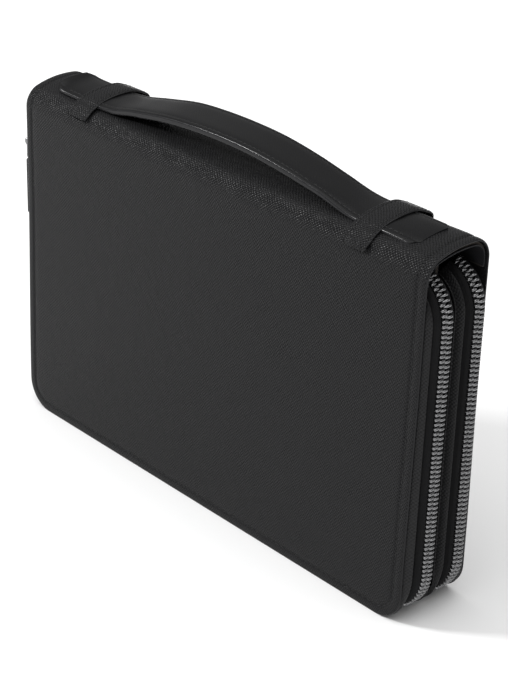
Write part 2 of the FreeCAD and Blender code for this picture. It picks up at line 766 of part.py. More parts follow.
def strap_slope(label, side):
    """The stretch of strap from beside a keeper up to the knee, round at both ends."""
    half = value("strap_width / 2")
    radius = value("strap_leather / 2")
    low = Vector(value("strap_pivot"), -half, strap_axis())
    high = Vector(value("strap_knee"), -half, strap_axis() + value("strap_rise"))
    along = (high - low).normalize() * radius
    across = Vector(along.z, 0, -along.x)
    edges = [
        Part.LineSegment(low + across, high + across),
        Part.Arc(high + across, high + along, high - across),
        Part.LineSegment(high - across, low - across),
        Part.Arc(low - across, low - along, low + across),
    ]
    face = Part.Face(Part.Wire([curve.toShape() for curve in edges]))
    shape = face.extrude(Vector(0, 2 * half, 0))
    if side < 0:
        shape = shape.mirror(Vector(0, 0, 0), Vector(1, 0, 0))
    add_feature(label, shape)


def strap_middle():
    """The arched middle of the strap."""
    half = value("strap_width / 2")
    thick = value("strap_leather")
    end = value("strap_knee") - knuckle()
    low = strap_axis() + value("strap_rise") - thick / 2
    crown = low + value("strap_crown")
    edges = [
        Part.Arc(Vector(-end, -half, low), Vector(0, -half, crown), Vector(end, -half, low)),
        Part.LineSegment(Vector(end, -half, low), Vector(end, -half, low + thick)),
        Part.Arc(Vector(end, -half, low + thick), Vector(0, -half, crown + thick),
                 Vector(-end, -half, low + thick)),
        Part.LineSegment(Vector(-end, -half, low + thick), Vector(-end, -half, low)),
    ]
    face = Part.Face(Part.Wire([curve.toShape() for curve in edges]))
    add_feature("handle_strap_middle", face.extrude(Vector(0, 2 * half, 0)))


def handle():
    for name, side in (("left", -1), ("right", 1)):
        keeper("keeper_" + name, side)
        tab("handle_tab_" + name, side)
        strap_slope("handle_strap_" + name, side)
    strap_middle()


# ---- Assembly --------------------------------------------------------------------------

def check(parts):
    """Stop if any object failed or any sub-part is not a sound solid."""
    for item in doc.Objects:
        if "Invalid" in item.State or "Error" in item.State:
            raise RuntimeError("%s failed: %s" % (item.Name, item.State))
    for item in parts:
        shape = item.Shape
        if shape.isNull() or not shape.isValid() or not shape.Solids or shape.Volume <= 0:
            raise RuntimeError("%s is not a sound solid" % item.Label)


def build():
    cover_panels("front", -1)
    cover_panels("back", 1)
    pocket_panel("front_cover_pocket", -1, 0, (-118, 118), 12, 92)
    for slot, high in enumerate((70, 62, 54)):
        pocket_panel("back_card_slot_%d" % (slot + 1), 1, slot, (-112, -18), 16, high)
    divider_panels()
    spine()
    gussets()
    zips()
    for name, zip_sign in (("front", -1), ("back", 1)):
        slider(name, zip_sign)
        puller(name, zip_sign)
        leather_pull(name, zip_sign)
    handle()
    doc.recompute()
    check(subparts)
    os.makedirs("parts", exist_ok=True)
    for item in subparts:
        item.Shape.exportStep("parts/%s.step" % item.Label)
        print("%-26s %3d solids %10.1f mm3" % (item.Label, len(item.Shape.Solids), item.Shape.Volume))


build()
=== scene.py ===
import math

import bmesh
import bpy
import numpy as np
from mathutils import Matrix, Vector

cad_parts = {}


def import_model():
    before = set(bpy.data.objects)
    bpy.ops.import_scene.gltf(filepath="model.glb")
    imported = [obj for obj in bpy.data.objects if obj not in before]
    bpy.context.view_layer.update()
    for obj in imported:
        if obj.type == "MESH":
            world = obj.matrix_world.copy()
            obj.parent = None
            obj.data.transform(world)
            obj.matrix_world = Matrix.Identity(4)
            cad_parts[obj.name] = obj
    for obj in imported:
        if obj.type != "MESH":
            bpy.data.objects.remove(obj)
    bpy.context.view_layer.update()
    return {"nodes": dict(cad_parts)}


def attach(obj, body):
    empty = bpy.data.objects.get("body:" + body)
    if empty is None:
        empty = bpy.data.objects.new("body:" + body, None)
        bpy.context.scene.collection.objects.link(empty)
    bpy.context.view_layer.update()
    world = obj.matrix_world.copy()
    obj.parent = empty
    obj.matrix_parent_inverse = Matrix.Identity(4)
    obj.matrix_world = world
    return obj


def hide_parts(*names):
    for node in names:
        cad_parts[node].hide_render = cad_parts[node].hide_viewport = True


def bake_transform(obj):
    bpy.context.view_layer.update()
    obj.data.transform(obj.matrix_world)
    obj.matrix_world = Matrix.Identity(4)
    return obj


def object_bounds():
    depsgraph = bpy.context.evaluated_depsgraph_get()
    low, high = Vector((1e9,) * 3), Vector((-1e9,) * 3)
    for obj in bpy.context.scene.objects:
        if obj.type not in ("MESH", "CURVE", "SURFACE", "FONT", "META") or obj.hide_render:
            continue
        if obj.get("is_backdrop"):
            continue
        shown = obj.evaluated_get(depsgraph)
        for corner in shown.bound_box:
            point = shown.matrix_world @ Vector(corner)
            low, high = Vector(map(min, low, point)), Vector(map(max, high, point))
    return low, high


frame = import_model()

# The looks of a slim zip-round document case of black cross-grained leather.
# Sizes are millimetres in the frame of the CAD model; the floor, lights and camera are in metres.

MM = 0.001
HALF = 134.0            # half the width of the covers
FACE = 19.2             # outside of a cover from the middle
RADIUS = 15.0           # lower corners of the covers
JOIN = 160.5            # where the leather of a cover meets that of the spine
FOLD = 157.0            # fold lines of the covers
ZIP = 9.7               # middle plane of each zip
RISE = 5.5              # height of the gussets' route along the base
CORNER = 19.5           # its lower corners
TURN = 16.5             # and its top turn
TURN_Z = 144.5          # height of the top turns' centres
TOP_SWEEP = 72.0        # degrees of a top turn
SKIN = 1.2              # thickness of the covers' and the spine's leather
CROWN = (4.8, 115.6, 60.0)        # y, z and radius of the top of the spine
SHOULDERS = ((-9.7, 163.968, 9.5), (9.7, 165.862, 9.5))        # the same of its front and back
PITCH = 2.25            # zip teeth, one side
TOOTH = 1.15            # length of a tooth along the chain
STITCH = 3.3            # from one stitch to the next
THREAD = 0.2            # half the thickness of a thread
STITCH_INSET = 4.7      # stitch line from the edge of the covers and spine
STITCH_SUNK = 0.4       # how far it lies below the full height of the leather
SWELL = 1.6             # bow of a cover's lower part
SWELL_TOP = 130.0       # height where it begins
SWELL_FULL = 15.0       # and where it is complete
END_LIFT = 0.9          # how far the ends of the spine's top curl up
END_FROM = 92.0         # distance from the middle of the case where that begins
END_FULL = 128.0        # and where it is complete
CURL_FROM = 168.0       # height on the shoulders where the curl begins
CURL_FULL = 176.0       # and where it is complete
ARC_STEPS = 16          # straight steps in a lower corner of a cover
DOME_STEPS = 6          # and round a painted edge

# Distance in from an edge, and how far the outer face lies below its full height there.
EDGE = (
    (0.35, 0.36), (0.9, 0.24), (2.0, 0.15), (3.2, 0.13), (3.9, 0.20), (4.3, 0.38),
    (4.7, 0.44), (5.1, 0.38), (5.6, 0.15), (6.6, 0.05), (9.0, 0.0), (15.0, 0.0),
)

# A stitch from end to end: share of its length, thickness, and height over the leather.
STITCH_SHAPE = (
    (0.0, 0.35, -0.9), (0.12, 0.85, -0.25), (0.35, 1.0, 0.2),
    (0.65, 1.0, 0.2), (0.88, 0.85, -0.25), (1.0, 0.35, -0.9),
)


# ---- Mesh building

def running(points):
    """Distance along a line of points."""
    steps = np.linalg.norm(np.diff(np.asarray(points, float), axis=0), axis=1)
    return np.concatenate([[0.0], np.cumsum(steps)])


def ease(t):
    """A smooth step from 0 to 1."""
    t = min(1.0, max(0.0, t))
    return t * t * (3 - 2 * t)


def vec(x, y, z):
    return np.array([x, y, z], float)


def unit(v):
    return v / np.linalg.norm(v)


def add_object(name, data):
    """A new object in the scene, at its origin."""
    obj = bpy.data.objects.new(name, data)
    bpy.context.scene.collection.objects.link(obj)
    return obj


class Build:
    """The surfaces of one piece, collected in millimetres."""

    def __init__(self):
        self.verts = []
        self.uvs = []
        self.faces = []
        self.slots = []

    def lattice(self, points, uv=None, slot=0, slots=None, wrap=False, cap=None):
        """A grid of quads; slots gives a material per column, cap that of two closed ends."""
        points = np.asarray(points, float)
        ends = (points[0], points[-1])
        if wrap:
            points = np.concatenate([points, points[:, :1]], axis=1)
        rows, cols = points.shape[:2]
        if uv is None:
            along = running(points.mean(axis=1))
            across = running(points[rows // 2])
            uv = np.stack(np.meshgrid(across, along), axis=-1)
        base = len(self.verts)
        self.verts.extend(points.reshape(-1, 3).tolist())
        self.uvs.extend(np.asarray(uv, float).reshape(-1, 2).tolist())
        for i in range(rows - 1):
            for j in range(cols - 1):
                a = base + i * cols + j
                self.faces.append((a, a + 1, a + cols + 1, a + cols))
                self.slots.append(slots[j] if slots is not None else slot)
        if cap is not None:
            for end in ends:
                self.polygon(end, cap)

    def polygon(self, points, slot=0):
        base = len(self.verts)
        self.verts.extend([list(map(float, p)) for p in points])
        self.uvs.extend([[float(p[0]), float(p[2])] for p in points])
        self.faces.append(tuple(range(base, base + len(points))))
        self.slots.append(slot)

    def sweep(self, stations, section, slot=0, slots=None, first_v=0.0, cap=0):
        """A closed section carried along stations of (point, across, out)."""
        section = np.asarray(section, float)
        points = np.array([[p + a * x + n * y for x, y in section] for p, a, n in stations])
        ring = np.concatenate([section, section[:1]])
        u = running(ring) + section[0][0]
        v = running([p for p, a, n in stations]) + first_v
        uv = np.stack(np.meshgrid(u, v), axis=-1)
        self.lattice(points, uv=uv, slot=slot, slots=slots, wrap=True, cap=cap)

    def stitches(self, line, normals, slot, pitch=STITCH, thread=THREAD, share=0.74):
        """Short raised threads along a line; normals point out of the leather."""
        line = np.asarray(line, float)
        normals = np.asarray(normals, float)
        s = running(line)

        def at(d):
            p, n = (np.array([np.interp(d, s, row) for row in table.T]) for table in (line, normals))
            return p, unit(n)

        count = max(1, int((s[-1] - 1.0) / pitch))
        start = (s[-1] - count * pitch) / 2
        for k in range(count):
            low = start + k * pitch + pitch * (1 - share) / 2
            rings = []
            for share_along, size, rise in STITCH_SHAPE:
                p, n = at(low + share_along * pitch * share)
                q, _ = at(low + share_along * pitch * share + 0.01)
                b = np.cross(unit(q - p), n)
                ring = []
                for corner in range(6):
                    angle = corner * math.pi / 3
                    up = n * thread * (rise + size * math.sin(angle))
                    ring.append(p + up + b * thread * 1.15 * size * math.cos(angle))
                rings.append(ring)
            self.lattice(rings, slot=slot, wrap=True)

    def make(self, name, materials, sharp=38.0):
        """The piece as an object in metres; edges over sharp degrees stay crisp."""
        mesh = bpy.data.meshes.new(name)
        mesh.from_pydata([tuple(c * MM for c in v) for v in self.verts], [], self.faces)
        layer = mesh.uv_layers.new(name="UVMap")
        loops = np.zeros(len(mesh.loops), int)
        mesh.loops.foreach_get("vertex_index", loops)
        layer.data.foreach_set("uv", np.asarray(self.uvs, np.float32)[loops].ravel())
        for material in materials:
            mesh.materials.append(material)
        mesh.polygons.foreach_set("material_index", self.slots)
        mesh.polygons.foreach_set("use_smooth", [True] * len(mesh.polygons))
        work = bmesh.new()
        work.from_mesh(mesh)
        bmesh.ops.remove_doubles(work, verts=work.verts, dist=1e-6)
        bmesh.ops.recalc_face_normals(work, faces=work.faces)
        work.to_mesh(mesh)
        work.free()
        mesh.set_sharp_from_angle(angle=math.radians(sharp))
        return add_object(name, mesh)


def edge_dome(top, bottom, reach=0.35):
    """Offsets round a painted edge: distance in from the edge, depth."""
    middle = (top + bottom) / 2
    size = (bottom - top) / 2
    points = []
    for k in range(1, DOME_STEPS):
        angle = math.pi * k / DOME_STEPS
        points.append((reach - reach * math.sin(angle), middle - size * math.cos(angle)))
    return points


def band(half, thickness, profile, reach=0.35):
    """Closed section of a leather band and the material of each side: 0 face, 1 painted edge.

    It runs along the outer face from -half to +half, then back inside.
    """
    points = [(-half + d, -depth) for d, depth in profile]
    points += [(half - d, -depth) for d, depth in reversed(profile)]
    slots = [0] * (len(points) - 1)
    dome = edge_dome(profile[0][1], thickness, reach)
    points += [(half - d, -depth) for d, depth in dome] + [(half - reach, -thickness)]
    slots += [1] * (len(dome) + 1)
    points += [(-half + reach, -thickness)] + [(-half + d, -depth) for d, depth in reversed(dome)]
    slots += [0] + [1] * (len(dome) + 1)
    return points, slots


def divided(section, slots, longest):
    """A section whose long sides are cut into shorter ones, so that it can bend."""
    points, marks = [], []
    for start, end, slot in zip(section, section[1:] + section[:1], slots):
        start, end = np.array(start), np.array(end)
        pieces = math.ceil(math.dist(start, end) / longest)
        points += [tuple(start + (end - start) * k / pieces) for k in range(pieces)]
        marks += [slot] * pieces
    return points, marks


# ---- Materials

def shaded(colour, factor):
    return tuple(c * factor for c in colour)


class Nodes:
    """A material's node tree; place is millimetres on the surface, or in space for a piece without UVs."""

    def __init__(self, name, use_uv=False):
        self.material = bpy.data.materials.new(name)
        self.material.use_nodes = True
        self.tree = self.material.node_tree
        self.shader = self.tree.nodes["Principled BSDF"]
        source = self.add("TexCoord", {})
        self.place = source.outputs["UV"]
        if not use_uv:
            sockets = {0: source.outputs["Object"], "Scale": 1 / MM}
            self.place = self.add("VectorMath", sockets, operation="SCALE").outputs[0]

    def feed(self, socket, setting):
        """Links an output to a socket, or sets the socket to a number or a colour."""
        if isinstance(setting, bpy.types.NodeSocket):
            self.tree.links.new(setting, socket)
        else:
            socket.default_value = setting

    def add(self, kind, sockets, **settings):
        """A node of a kind, with what goes into its sockets, by name or number."""
        node = self.tree.nodes.new("ShaderNode" + kind)
        for key, setting in settings.items():
            setattr(node, key, setting)
        for key, setting in sockets.items():
            self.feed(node.inputs[key], setting)
        return node

    def math(self, operation, *items):
        return self.add("Math", dict(enumerate(items)), operation=operation).outputs[0]

    def noise(self, scale, detail=2.0, roughness=0.5):
        sockets = {"Vector": self.place, "Scale": scale, "Detail": detail, "Roughness": roughness}
        return self.add("TexNoise", sockets).outputs["Fac"]

    def bump(self, height, distance):
        sockets = {"Height": height, "Strength": 1.0, "Distance": distance * MM}
        return self.add("Bump", sockets).outputs["Normal"]

    def ramp(self, factor, low, high, from_low=0.3, from_high=0.7):
        sockets = {"Value": factor, "From Min": from_low, "From Max": from_high}
        sockets.update({"To Min": low, "To Max": high})
        return self.add("MapRange", sockets).outputs["Result"]

    def mix_colour(self, factor, first, second):
        sockets = {0: factor, 6: (*first, 1), 7: (*second, 1)}
        return self.add("Mix", sockets, data_type="RGBA").outputs[2]

    def set(self, **sockets):
        """Feeds the shader's inputs, named with _ for a space."""
        for name, setting in sockets.items():
            if isinstance(setting, tuple):
                setting = (*setting, 1)
            self.feed(self.shader.inputs[name.replace("_", " ")], setting)
        return self.material


def cross_grain(name, pitch, depth, colour, roughness, level, contrast=1.0):
    """Leather pressed with two families of fine diagonal ridges.

    pitch, depth: of the ridges. level: of the specular reflection. contrast: of ridges and valleys, in
    gloss and in colour, the ridges painted lighter and the valleys darker as painted highlight and shade.
    """
    n = Nodes(name, use_uv=True)
    warp = n.add("TexNoise", {"Vector": n.place, "Scale": 0.22, "Detail": 3.0}, noise_dimensions="2D")
    sockets = {0: warp.outputs["Color"], 1: (1.5, 1.5, 0), 2: n.place}
    spread = n.add("VectorMath", sockets, operation="MULTIPLY_ADD")
    split = n.add("SeparateXYZ", {0: spread.outputs[0]})
    rising = n.math("ADD", split.outputs[0], split.outputs[1])
    falling = n.math("SUBTRACT", split.outputs[0], split.outputs[1])
    turn = 1 / (pitch * math.sqrt(2))
    valleys = []
    for direction, count in ((rising, turn), (falling, turn * 1.04)):
        position = n.math("FRACT", n.math("MULTIPLY", direction, count))
        offset = n.math("SUBTRACT", n.math("MULTIPLY", position, 2.0), 1.0)
        valleys.append(n.math("MULTIPLY", offset, offset))
    ridges = n.math("SUBTRACT", 0.65, n.math("ADD", *valleys))
    grain = n.noise(1.9, 3.0, 0.6)
    patches = n.ramp(n.noise(0.12, 2.0), 0.6, 1.0, 0.35, 0.65)
    worn_relief_and_painted_light = n.math("MULTIPLY", ridges, patches)
    height = n.math("ADD", worn_relief_and_painted_light, n.math("MULTIPLY", grain, 0.35))
    normal = n.bump(height, depth)
    # Painted highlight and shade: the ridges' colour is made lighter and the valleys' darker, standing in
    # for the glints on the ridges and the shade between them.
    painted_ridge_light = n.ramp(worn_relief_and_painted_light, 0.0, 1.0, -0.8, 0.5)
    tone = n.mix_colour(painted_ridge_light, shaded(colour, 1 - 0.75 * contrast), shaded(colour, 1 + contrast))
    gloss = n.ramp(worn_relief_and_painted_light, roughness + 0.14 * contrast, roughness - 0.05 * contrast, -0.8, 0.5)
    return n.set(Base_Color=tone, Roughness=gloss, Specular_IOR_Level=level, Normal=normal)


def fine_leather(name, colour, level):
    """Soft calf-like leather with small pebbles."""
    n = Nodes(name, use_uv=True)
    cells = n.add("TexVoronoi", {"Vector": n.place, "Scale": 1.3}, feature="DISTANCE_TO_EDGE")
    creases = n.math("MINIMUM", cells.outputs["Distance"], 0.22)
    height = n.math("ADD", creases, n.math("MULTIPLY", n.noise(1.8, 3.0), 0.25))
    tone = n.mix_colour(n.noise(0.4, 2.0), shaded(colour, 0.8), shaded(colour, 1.2))
    gloss = n.ramp(n.noise(0.3, 2.0), 0.43, 0.54)
    return n.set(Base_Color=tone, Roughness=gloss, Specular_IOR_Level=level, Normal=n.bump(height, 0.2))


def painted_edge(name):
    """Edge paint: smooth, glossy and very slightly uneven."""
    n = Nodes(name)
    height = n.noise(0.9, 2.0)
    gloss = n.ramp(n.noise(0.5, 2.0), 0.17, 0.24)
    paint = (0.014, 0.014, 0.015)
    return n.set(Base_Color=paint, Roughness=gloss, Specular_IOR_Level=0.15, Normal=n.bump(height, 0.05))


def weave(name, use_uv, count, colour, depth, rough, diagonal=False, level=0.25):
    """Woven cloth: warp and weft ridges, or a twill."""
    n = Nodes(name, use_uv)
    split = n.add("SeparateXYZ", {0: n.place})
    across, along = split.outputs[0], split.outputs[1]
    if not use_uv:
        along = n.math("ADD", split.outputs[1], split.outputs[2])
    turn = 2 * math.pi * count
    warp = n.math("SINE", n.math("MULTIPLY", across, turn))
    weft = n.math("SINE", n.math("MULTIPLY", along, turn))
    if diagonal:
        slant = n.math("SINE", n.math("MULTIPLY", n.math("ADD", across, along), turn * 0.5))
        height = n.math("ADD", n.math("MULTIPLY", slant, 0.7), n.math("MULTIPLY", warp, 0.3))
    else:
        height = n.math("MULTIPLY", warp, weft)
    # Painted highlight and shade: the colour follows the weave's heights, the raised threads lighter and
    # the hollows between them darker.
    tone = n.mix_colour(n.ramp(height, 0.0, 1.0, -1.0, 1.0), shaded(colour, 0.6), shaded(colour, 1.3))
    fibres = n.math("ADD", height, n.math("MULTIPLY", n.noise(6.0, 2.0), 0.8))
    gloss = n.ramp(n.noise(0.8, 2.0), rough - 0.05, rough + 0.05)
    return n.set(Base_Color=tone, Roughness=gloss, Specular_IOR_Level=level, Normal=n.bump(fibres, depth))


def plated(name, colour, roughness):
    """Nickel plating with fine wear."""
    n = Nodes(name)
    gloss = n.ramp(n.noise(1.2, 3.0, 0.6), roughness - 0.06, roughness + 0.08)
    tone = n.mix_colour(n.noise(0.7, 2.0), shaded(colour, 0.85), colour)
    normal = n.bump(n.noise(3.0, 2.0), 0.02)
    return n.set(Base_Color=tone, Metallic=1.0, Roughness=gloss, Normal=normal)


def twisted_thread(name):
    """Thread with its strands shown as fine waves."""
    n = Nodes(name)
    wave = n.add("TexWave", {"Vector": n.place, "Scale": 1.6, "Distortion": 2.0})
    strands = wave.outputs["Fac"]
    # Painted highlight and shade: the colour follows the strands' heights, lighter on the raised strands
    # and darker between them.
    tone = n.mix_colour(strands, (0.006, 0.006, 0.006), (0.016, 0.016, 0.017))
    return n.set(Base_Color=tone, Roughness=0.55, Specular_IOR_Level=0.3, Normal=n.bump(strands, 0.05))


def pressed_board(name):
    """Brown fibre board."""
    n = Nodes(name)
    fibres = n.noise(1.5, 5.0, 0.7)
    tone = n.mix_colour(fibres, (0.035, 0.03, 0.026), (0.07, 0.062, 0.055))
    return n.set(Base_Color=tone, Roughness=0.9, Specular_IOR_Level=0.2, Normal=n.bump(fibres, 0.08))


# The cross-grained leathers below carry painted highlight and shade on their ridges and valleys, as much
# as their contrast sets.
GRAIN = cross_grain("cross_grain_leather", 1.2, 0.16, (0.0085, 0.0085, 0.0089), 0.27, 0.07)
STRAP = cross_grain("strap_leather", 1.05, 0.02, (0.006, 0.006, 0.0064), 0.31, 0.13, contrast=0.2)
GUSSET = cross_grain("gusset_leather", 1.3, 0.10, (0.006, 0.006, 0.0065), 0.45, 0.22)
SMOOTH = fine_leather("smooth_leather", (0.010, 0.010, 0.0105), level=0.25)
EDGE_PAINT = painted_edge("edge_paint")
TAPE = weave("zip_tape", True, 1.1, (0.005, 0.005, 0.0055), 0.04, 0.78, level=0.15)
LINING = weave("lining_cloth", False, 1.6, (0.013, 0.013, 0.015), 0.05, 0.7, diagonal=True)
TEETH = plated("zip_teeth_metal", (0.26, 0.26, 0.265), 0.22)
METAL = plated("zip_slider_metal", (0.20, 0.20, 0.205), 0.2)
THREAD_LOOK = twisted_thread("black_thread")
BOARD = pressed_board("pressed_board")
SEWN = [GRAIN, EDGE_PAINT, THREAD_LOOK]


# ---- Covers

# Rows of vertices: close together where a cover folds, wider apart below.
SIDE_LEVELS = [JOIN - 0.6 * k for k in range(13)]
SIDE_LEVELS += [151, 148, 142, 134, 122, 108, 92, 76, 60, 46, 34, 26, 20, 15]
BASE_LEVELS = list(np.linspace(RADIUS - HALF, HALF - RADIUS, 25))


def corner_arc(side, d):
    """Points inside a lower corner's arc, moved in by d: side is -1 on the left, 1 on the right."""
    points = []
    for k in range(1, ARC_STEPS):
        angle = math.radians((180 if side < 0 else 270) + 90 * k / ARC_STEPS)
        across, up = (RADIUS - d) * math.cos(angle), (RADIUS - d) * math.sin(angle)
        points.append((side * (HALF - RADIUS) + across, RADIUS + up))
    return points


def inset_route(d):
    """The cover's outline moved in by d: down the left side, along the base, up the right."""
    down = [(-(HALF - d), z) for z in SIDE_LEVELS] + corner_arc(-1, d)
    up = corner_arc(1, d) + [(HALF - d, z) for z in reversed(SIDE_LEVELS)]
    return down + [(x, d) for x in BASE_LEVELS] + up


def swell(z):
    """How far the lower part of a cover bows outwards."""
    return SWELL * ease((SWELL_TOP - z) / (SWELL_TOP - SWELL_FULL))


def cover_leather(name, sign):
    """One cover's outer leather, with its turned and stitched border."""
    build = Build()
    loops = list(reversed(EDGE)) + edge_dome(EDGE[0][1], SKIN) + [(0.35, SKIN), (RADIUS, SKIN)]
    slots = [0] * (len(EDGE) - 1) + [1] * DOME_STEPS + [0]

    def sunk(line, depth):
        return [vec(x, sign * (FACE + swell(z) - depth), z) for x, z in line]

    rows = [sunk(inset_route(d), depth) for d, depth in loops]
    flat = [inset_route(d) for d, depth in loops]
    build.lattice(np.swapaxes(rows, 0, 1), uv=np.swapaxes(flat, 0, 1), slots=slots)
    flat = [[(x, z) for x in BASE_LEVELS] for z in SIDE_LEVELS]
    for depth in (0.0, SKIN):
        build.lattice([sunk(row, depth) for row in flat], uv=flat)
    line = sunk(inset_route(STITCH_INSET), STITCH_SUNK)
    build.stitches(line, [vec(0, sign, 0)] * len(line), slot=2)
    return build.make(name, SEWN)


def arch():
    """The spine's profile from the front wall over the top to the back wall."""
    stations = []
    cy, cz, radius = CROWN
    (fy, fz, fr), (by, bz, br) = SHOULDERS
    front_end = math.atan2(fz - cz, fy - cy)
    back_end = math.atan2(bz - cz, by - cy)
    across = vec(1, 0, 0)

    def bend(y, z, r, angles):
        for angle in angles:
            out = vec(0, math.cos(angle), math.sin(angle))
            stations.append((vec(0, y, z) + out * r, across, out))

    for z in np.linspace(JOIN, fz, 4)[:-1]:
        stations.append((vec(0, -FACE, z), across, vec(0, -1, 0)))
    bend(fy, fz, fr, np.linspace(math.pi, front_end, 15)[:-1])
    bend(cy, cz, radius, np.linspace(front_end, back_end, 15))
    bend(by, bz, br, np.linspace(back_end, 0, 15)[1:])
    for z in np.linspace(bz, JOIN, 5)[1:]:
        stations.append((vec(0, FACE, z), across, vec(0, 1, 0)))
    return stations


def spine_leather():
    """The leather over the spine, its ends curled up a little."""
    build = Build()
    section, slots = divided(*band(HALF, SKIN, EDGE), 6.0)
    stations = arch()
    build.sweep(stations, section, slots=slots, first_v=JOIN, cap=None)
    for vertex in build.verts:
        share = ease((abs(vertex[0]) - END_FROM) / (END_FULL - END_FROM))
        vertex[2] += END_LIFT * share * ease((vertex[2] - CURL_FROM) / (CURL_FULL - CURL_FROM))
    for end in (-1, 1):
        line = [p + a * end * (HALF - STITCH_INSET) - n * STITCH_SUNK for p, a, n in stations]
        build.stitches(line, [n for p, a, n in stations], slot=2)
    return build.make("spine_wrap", SEWN)


# ---- Gussets and zips

CORNER_Z = RISE + CORNER     # height of the lower corners' centres


def route():
    """Stations on the gussets' route, from the left top turn round to the right one."""
    across = vec(0, 1, 0)
    stations = []

    def bend(centre, r, start, end, steps):
        for angle in np.linspace(math.radians(start), math.radians(end), steps):
            out = vec(math.cos(angle), 0, math.sin(angle))
            stations.append((vec(centre[0], 0, centre[1]) + out * r, across, out))

    bend((-HALF + TURN, TURN_Z), TURN, 180 - TOP_SWEEP, 180, 22)
    for z in np.linspace(TURN_Z, CORNER_Z, 24)[1:-1]:
        stations.append((vec(-HALF, 0, z), across, vec(-1, 0, 0)))
    bend((-HALF + CORNER, CORNER_Z), CORNER, 180, 270, 21)
    for x in np.linspace(-HALF + CORNER, HALF - CORNER, 40)[1:-1]:
        stations.append((vec(x, 0, RISE), across, vec(0, 0, -1)))
    bend((HALF - CORNER, CORNER_Z), CORNER, 270, 360, 21)
    for z in np.linspace(CORNER_Z, TURN_Z, 24)[1:-1]:
        stations.append((vec(HALF, 0, z), across, vec(1, 0, 0)))
    bend((HALF - TURN, TURN_Z), TURN, 0, TOP_SWEEP, 22)
    return stations


def rounded(section, size=0.22, steps=3):
    """A closed section with its corners eased."""
    section = [np.array(p, float) for p in section]
    points = []
    for k, corner in enumerate(section):
        before, after = section[k - 1], section[(k + 1) % len(section)]
        reach = min(size, np.linalg.norm(before - corner) / 2.1, np.linalg.norm(after - corner) / 2.1)
        start = corner + unit(before - corner) * reach
        end = corner + unit(after - corner) * reach
        for t in np.linspace(0, 1, steps):
            points.append((1 - t) ** 2 * start + 2 * t * (1 - t) * corner + t ** 2 * end)
    return points


def circle(radius, count):
    angles = np.linspace(0, 2 * math.pi, count + 1)[:-1]
    return [(radius * math.cos(a), radius * math.sin(a)) for a in angles]


def zip_section(section, zip_sign, side):
    """A section given from a zip's middle, placed on one side of that zip."""
    return [(zip_sign * ZIP + side * across, out) for across, out in section]


# Sections from a zip's middle: across, and outwards from the route.
GUSSET_FACE = [
    (8.2, -0.9), (7.85, -0.1), (7.35, 0.85), (6.85, 1.65), (6.35, 2.3), (5.9, 2.35), (5.57, 1.85),
    (7.42, -1.35), (7.6, -1.8),
]
TAPE_FACE = [
    (3.05, 3.75), (3.05, 4.25), (3.9, 4.15), (4.7, 3.6), (5.3, 2.5), (5.8, 1.5), (7.25, -1.2),
    (6.85, -1.45), (5.3, 1.4), (4.7, 2.7), (4.0, 3.5),
]

# Round the lower corners and along the base the gussets flare out to the covers' edges.
FOOT_INSET = 0.9
FLARE_ACROSS = (5.3, 6.35, 7.35, 8.2)
FLARE_SHARE = (0.2, 0.45, 0.9, 1.0)


def depth_in_outline(x, z):
    """Distance of a point from the covers' outline, positive inside it."""
    past = abs(x) - (HALF - RADIUS)
    if past > 0 and z < RADIUS:
        return RADIUS - math.hypot(past, RADIUS - z)
    return min(HALF - abs(x), z)


def flare(point, out):
    """How far the foot of a gusset moves out to lie just inside the covers' outline."""
    travel = 0.0
    for _ in range(6):
        x, _, z = point + out * travel
        travel += depth_in_outline(x, z) - FOOT_INSET
    return travel + FOOT_INSET


def gusset(name, zip_sign, side):
    """The leather strip between a zip and a cover, or a zip and the divider."""
    build = Build()
    foot = 8.3 if side == zip_sign else 8.6
    section = zip_section(GUSSET_FACE + [(foot, -1.8), (foot, -0.9)], zip_sign, side)
    stations = route()
    build.sweep(stations, rounded(section))
    per_ring = len(rounded(section)) + 1
    for k, (point, across, out) in enumerate(stations):
        spread = flare(point, out) if point[2] < CORNER_Z else 0.0
        for i in range(k * per_ring, (k + 1) * per_ring):
            vertex = np.array(build.verts[i])
            reach = abs(vertex[1]) - ZIP if side == zip_sign else ZIP - abs(vertex[1])
            share = np.interp(reach, FLARE_ACROSS, FLARE_SHARE)
            vertex += out * spread * share
            if side == zip_sign:
                vertex[1] += side * swell(vertex[2]) * share
            build.verts[i] = vertex.tolist()
    return build.make(name, [GUSSET, EDGE_PAINT])


def tape(name, zip_sign, side):
    """One woven tape of a zip."""
    build = Build()
    build.sweep(route(), rounded(zip_section(TAPE_FACE, zip_sign, side), 0.15))
    return build.make(name, [TAPE])


CHAIN_LEVEL = 4.2       # from the route out to the middle of the teeth
CHAIN_RADIUS = CORNER + CHAIN_LEVEL
CHAIN_TOP = 140.1       # height where the left end of the chain starts

# The chain's legs: length, start of the leg's line or centre of its arc, degrees, and radius.
QUARTER = CHAIN_RADIUS * math.pi / 2    # length of a quarter turn
CHAIN_LEGS = (
    (CHAIN_TOP - CORNER_Z, (-HALF, CHAIN_TOP), 180, 0),
    (QUARTER, (-HALF + CORNER, CORNER_Z), 180, CORNER),
    (2 * (HALF - CORNER), (-HALF + CORNER, RISE), 270, 0),
    (QUARTER, (HALF - CORNER, CORNER_Z), 270, CORNER),
    (TURN_Z - CORNER_Z, (HALF, CORNER_Z), 0, 0),
    (math.radians(TOP_SWEEP) * (TURN + CHAIN_LEVEL), (HALF - TURN, TURN_Z), 0, TURN),
)
CHAIN_LENGTH = sum(leg[0] for leg in CHAIN_LEGS)


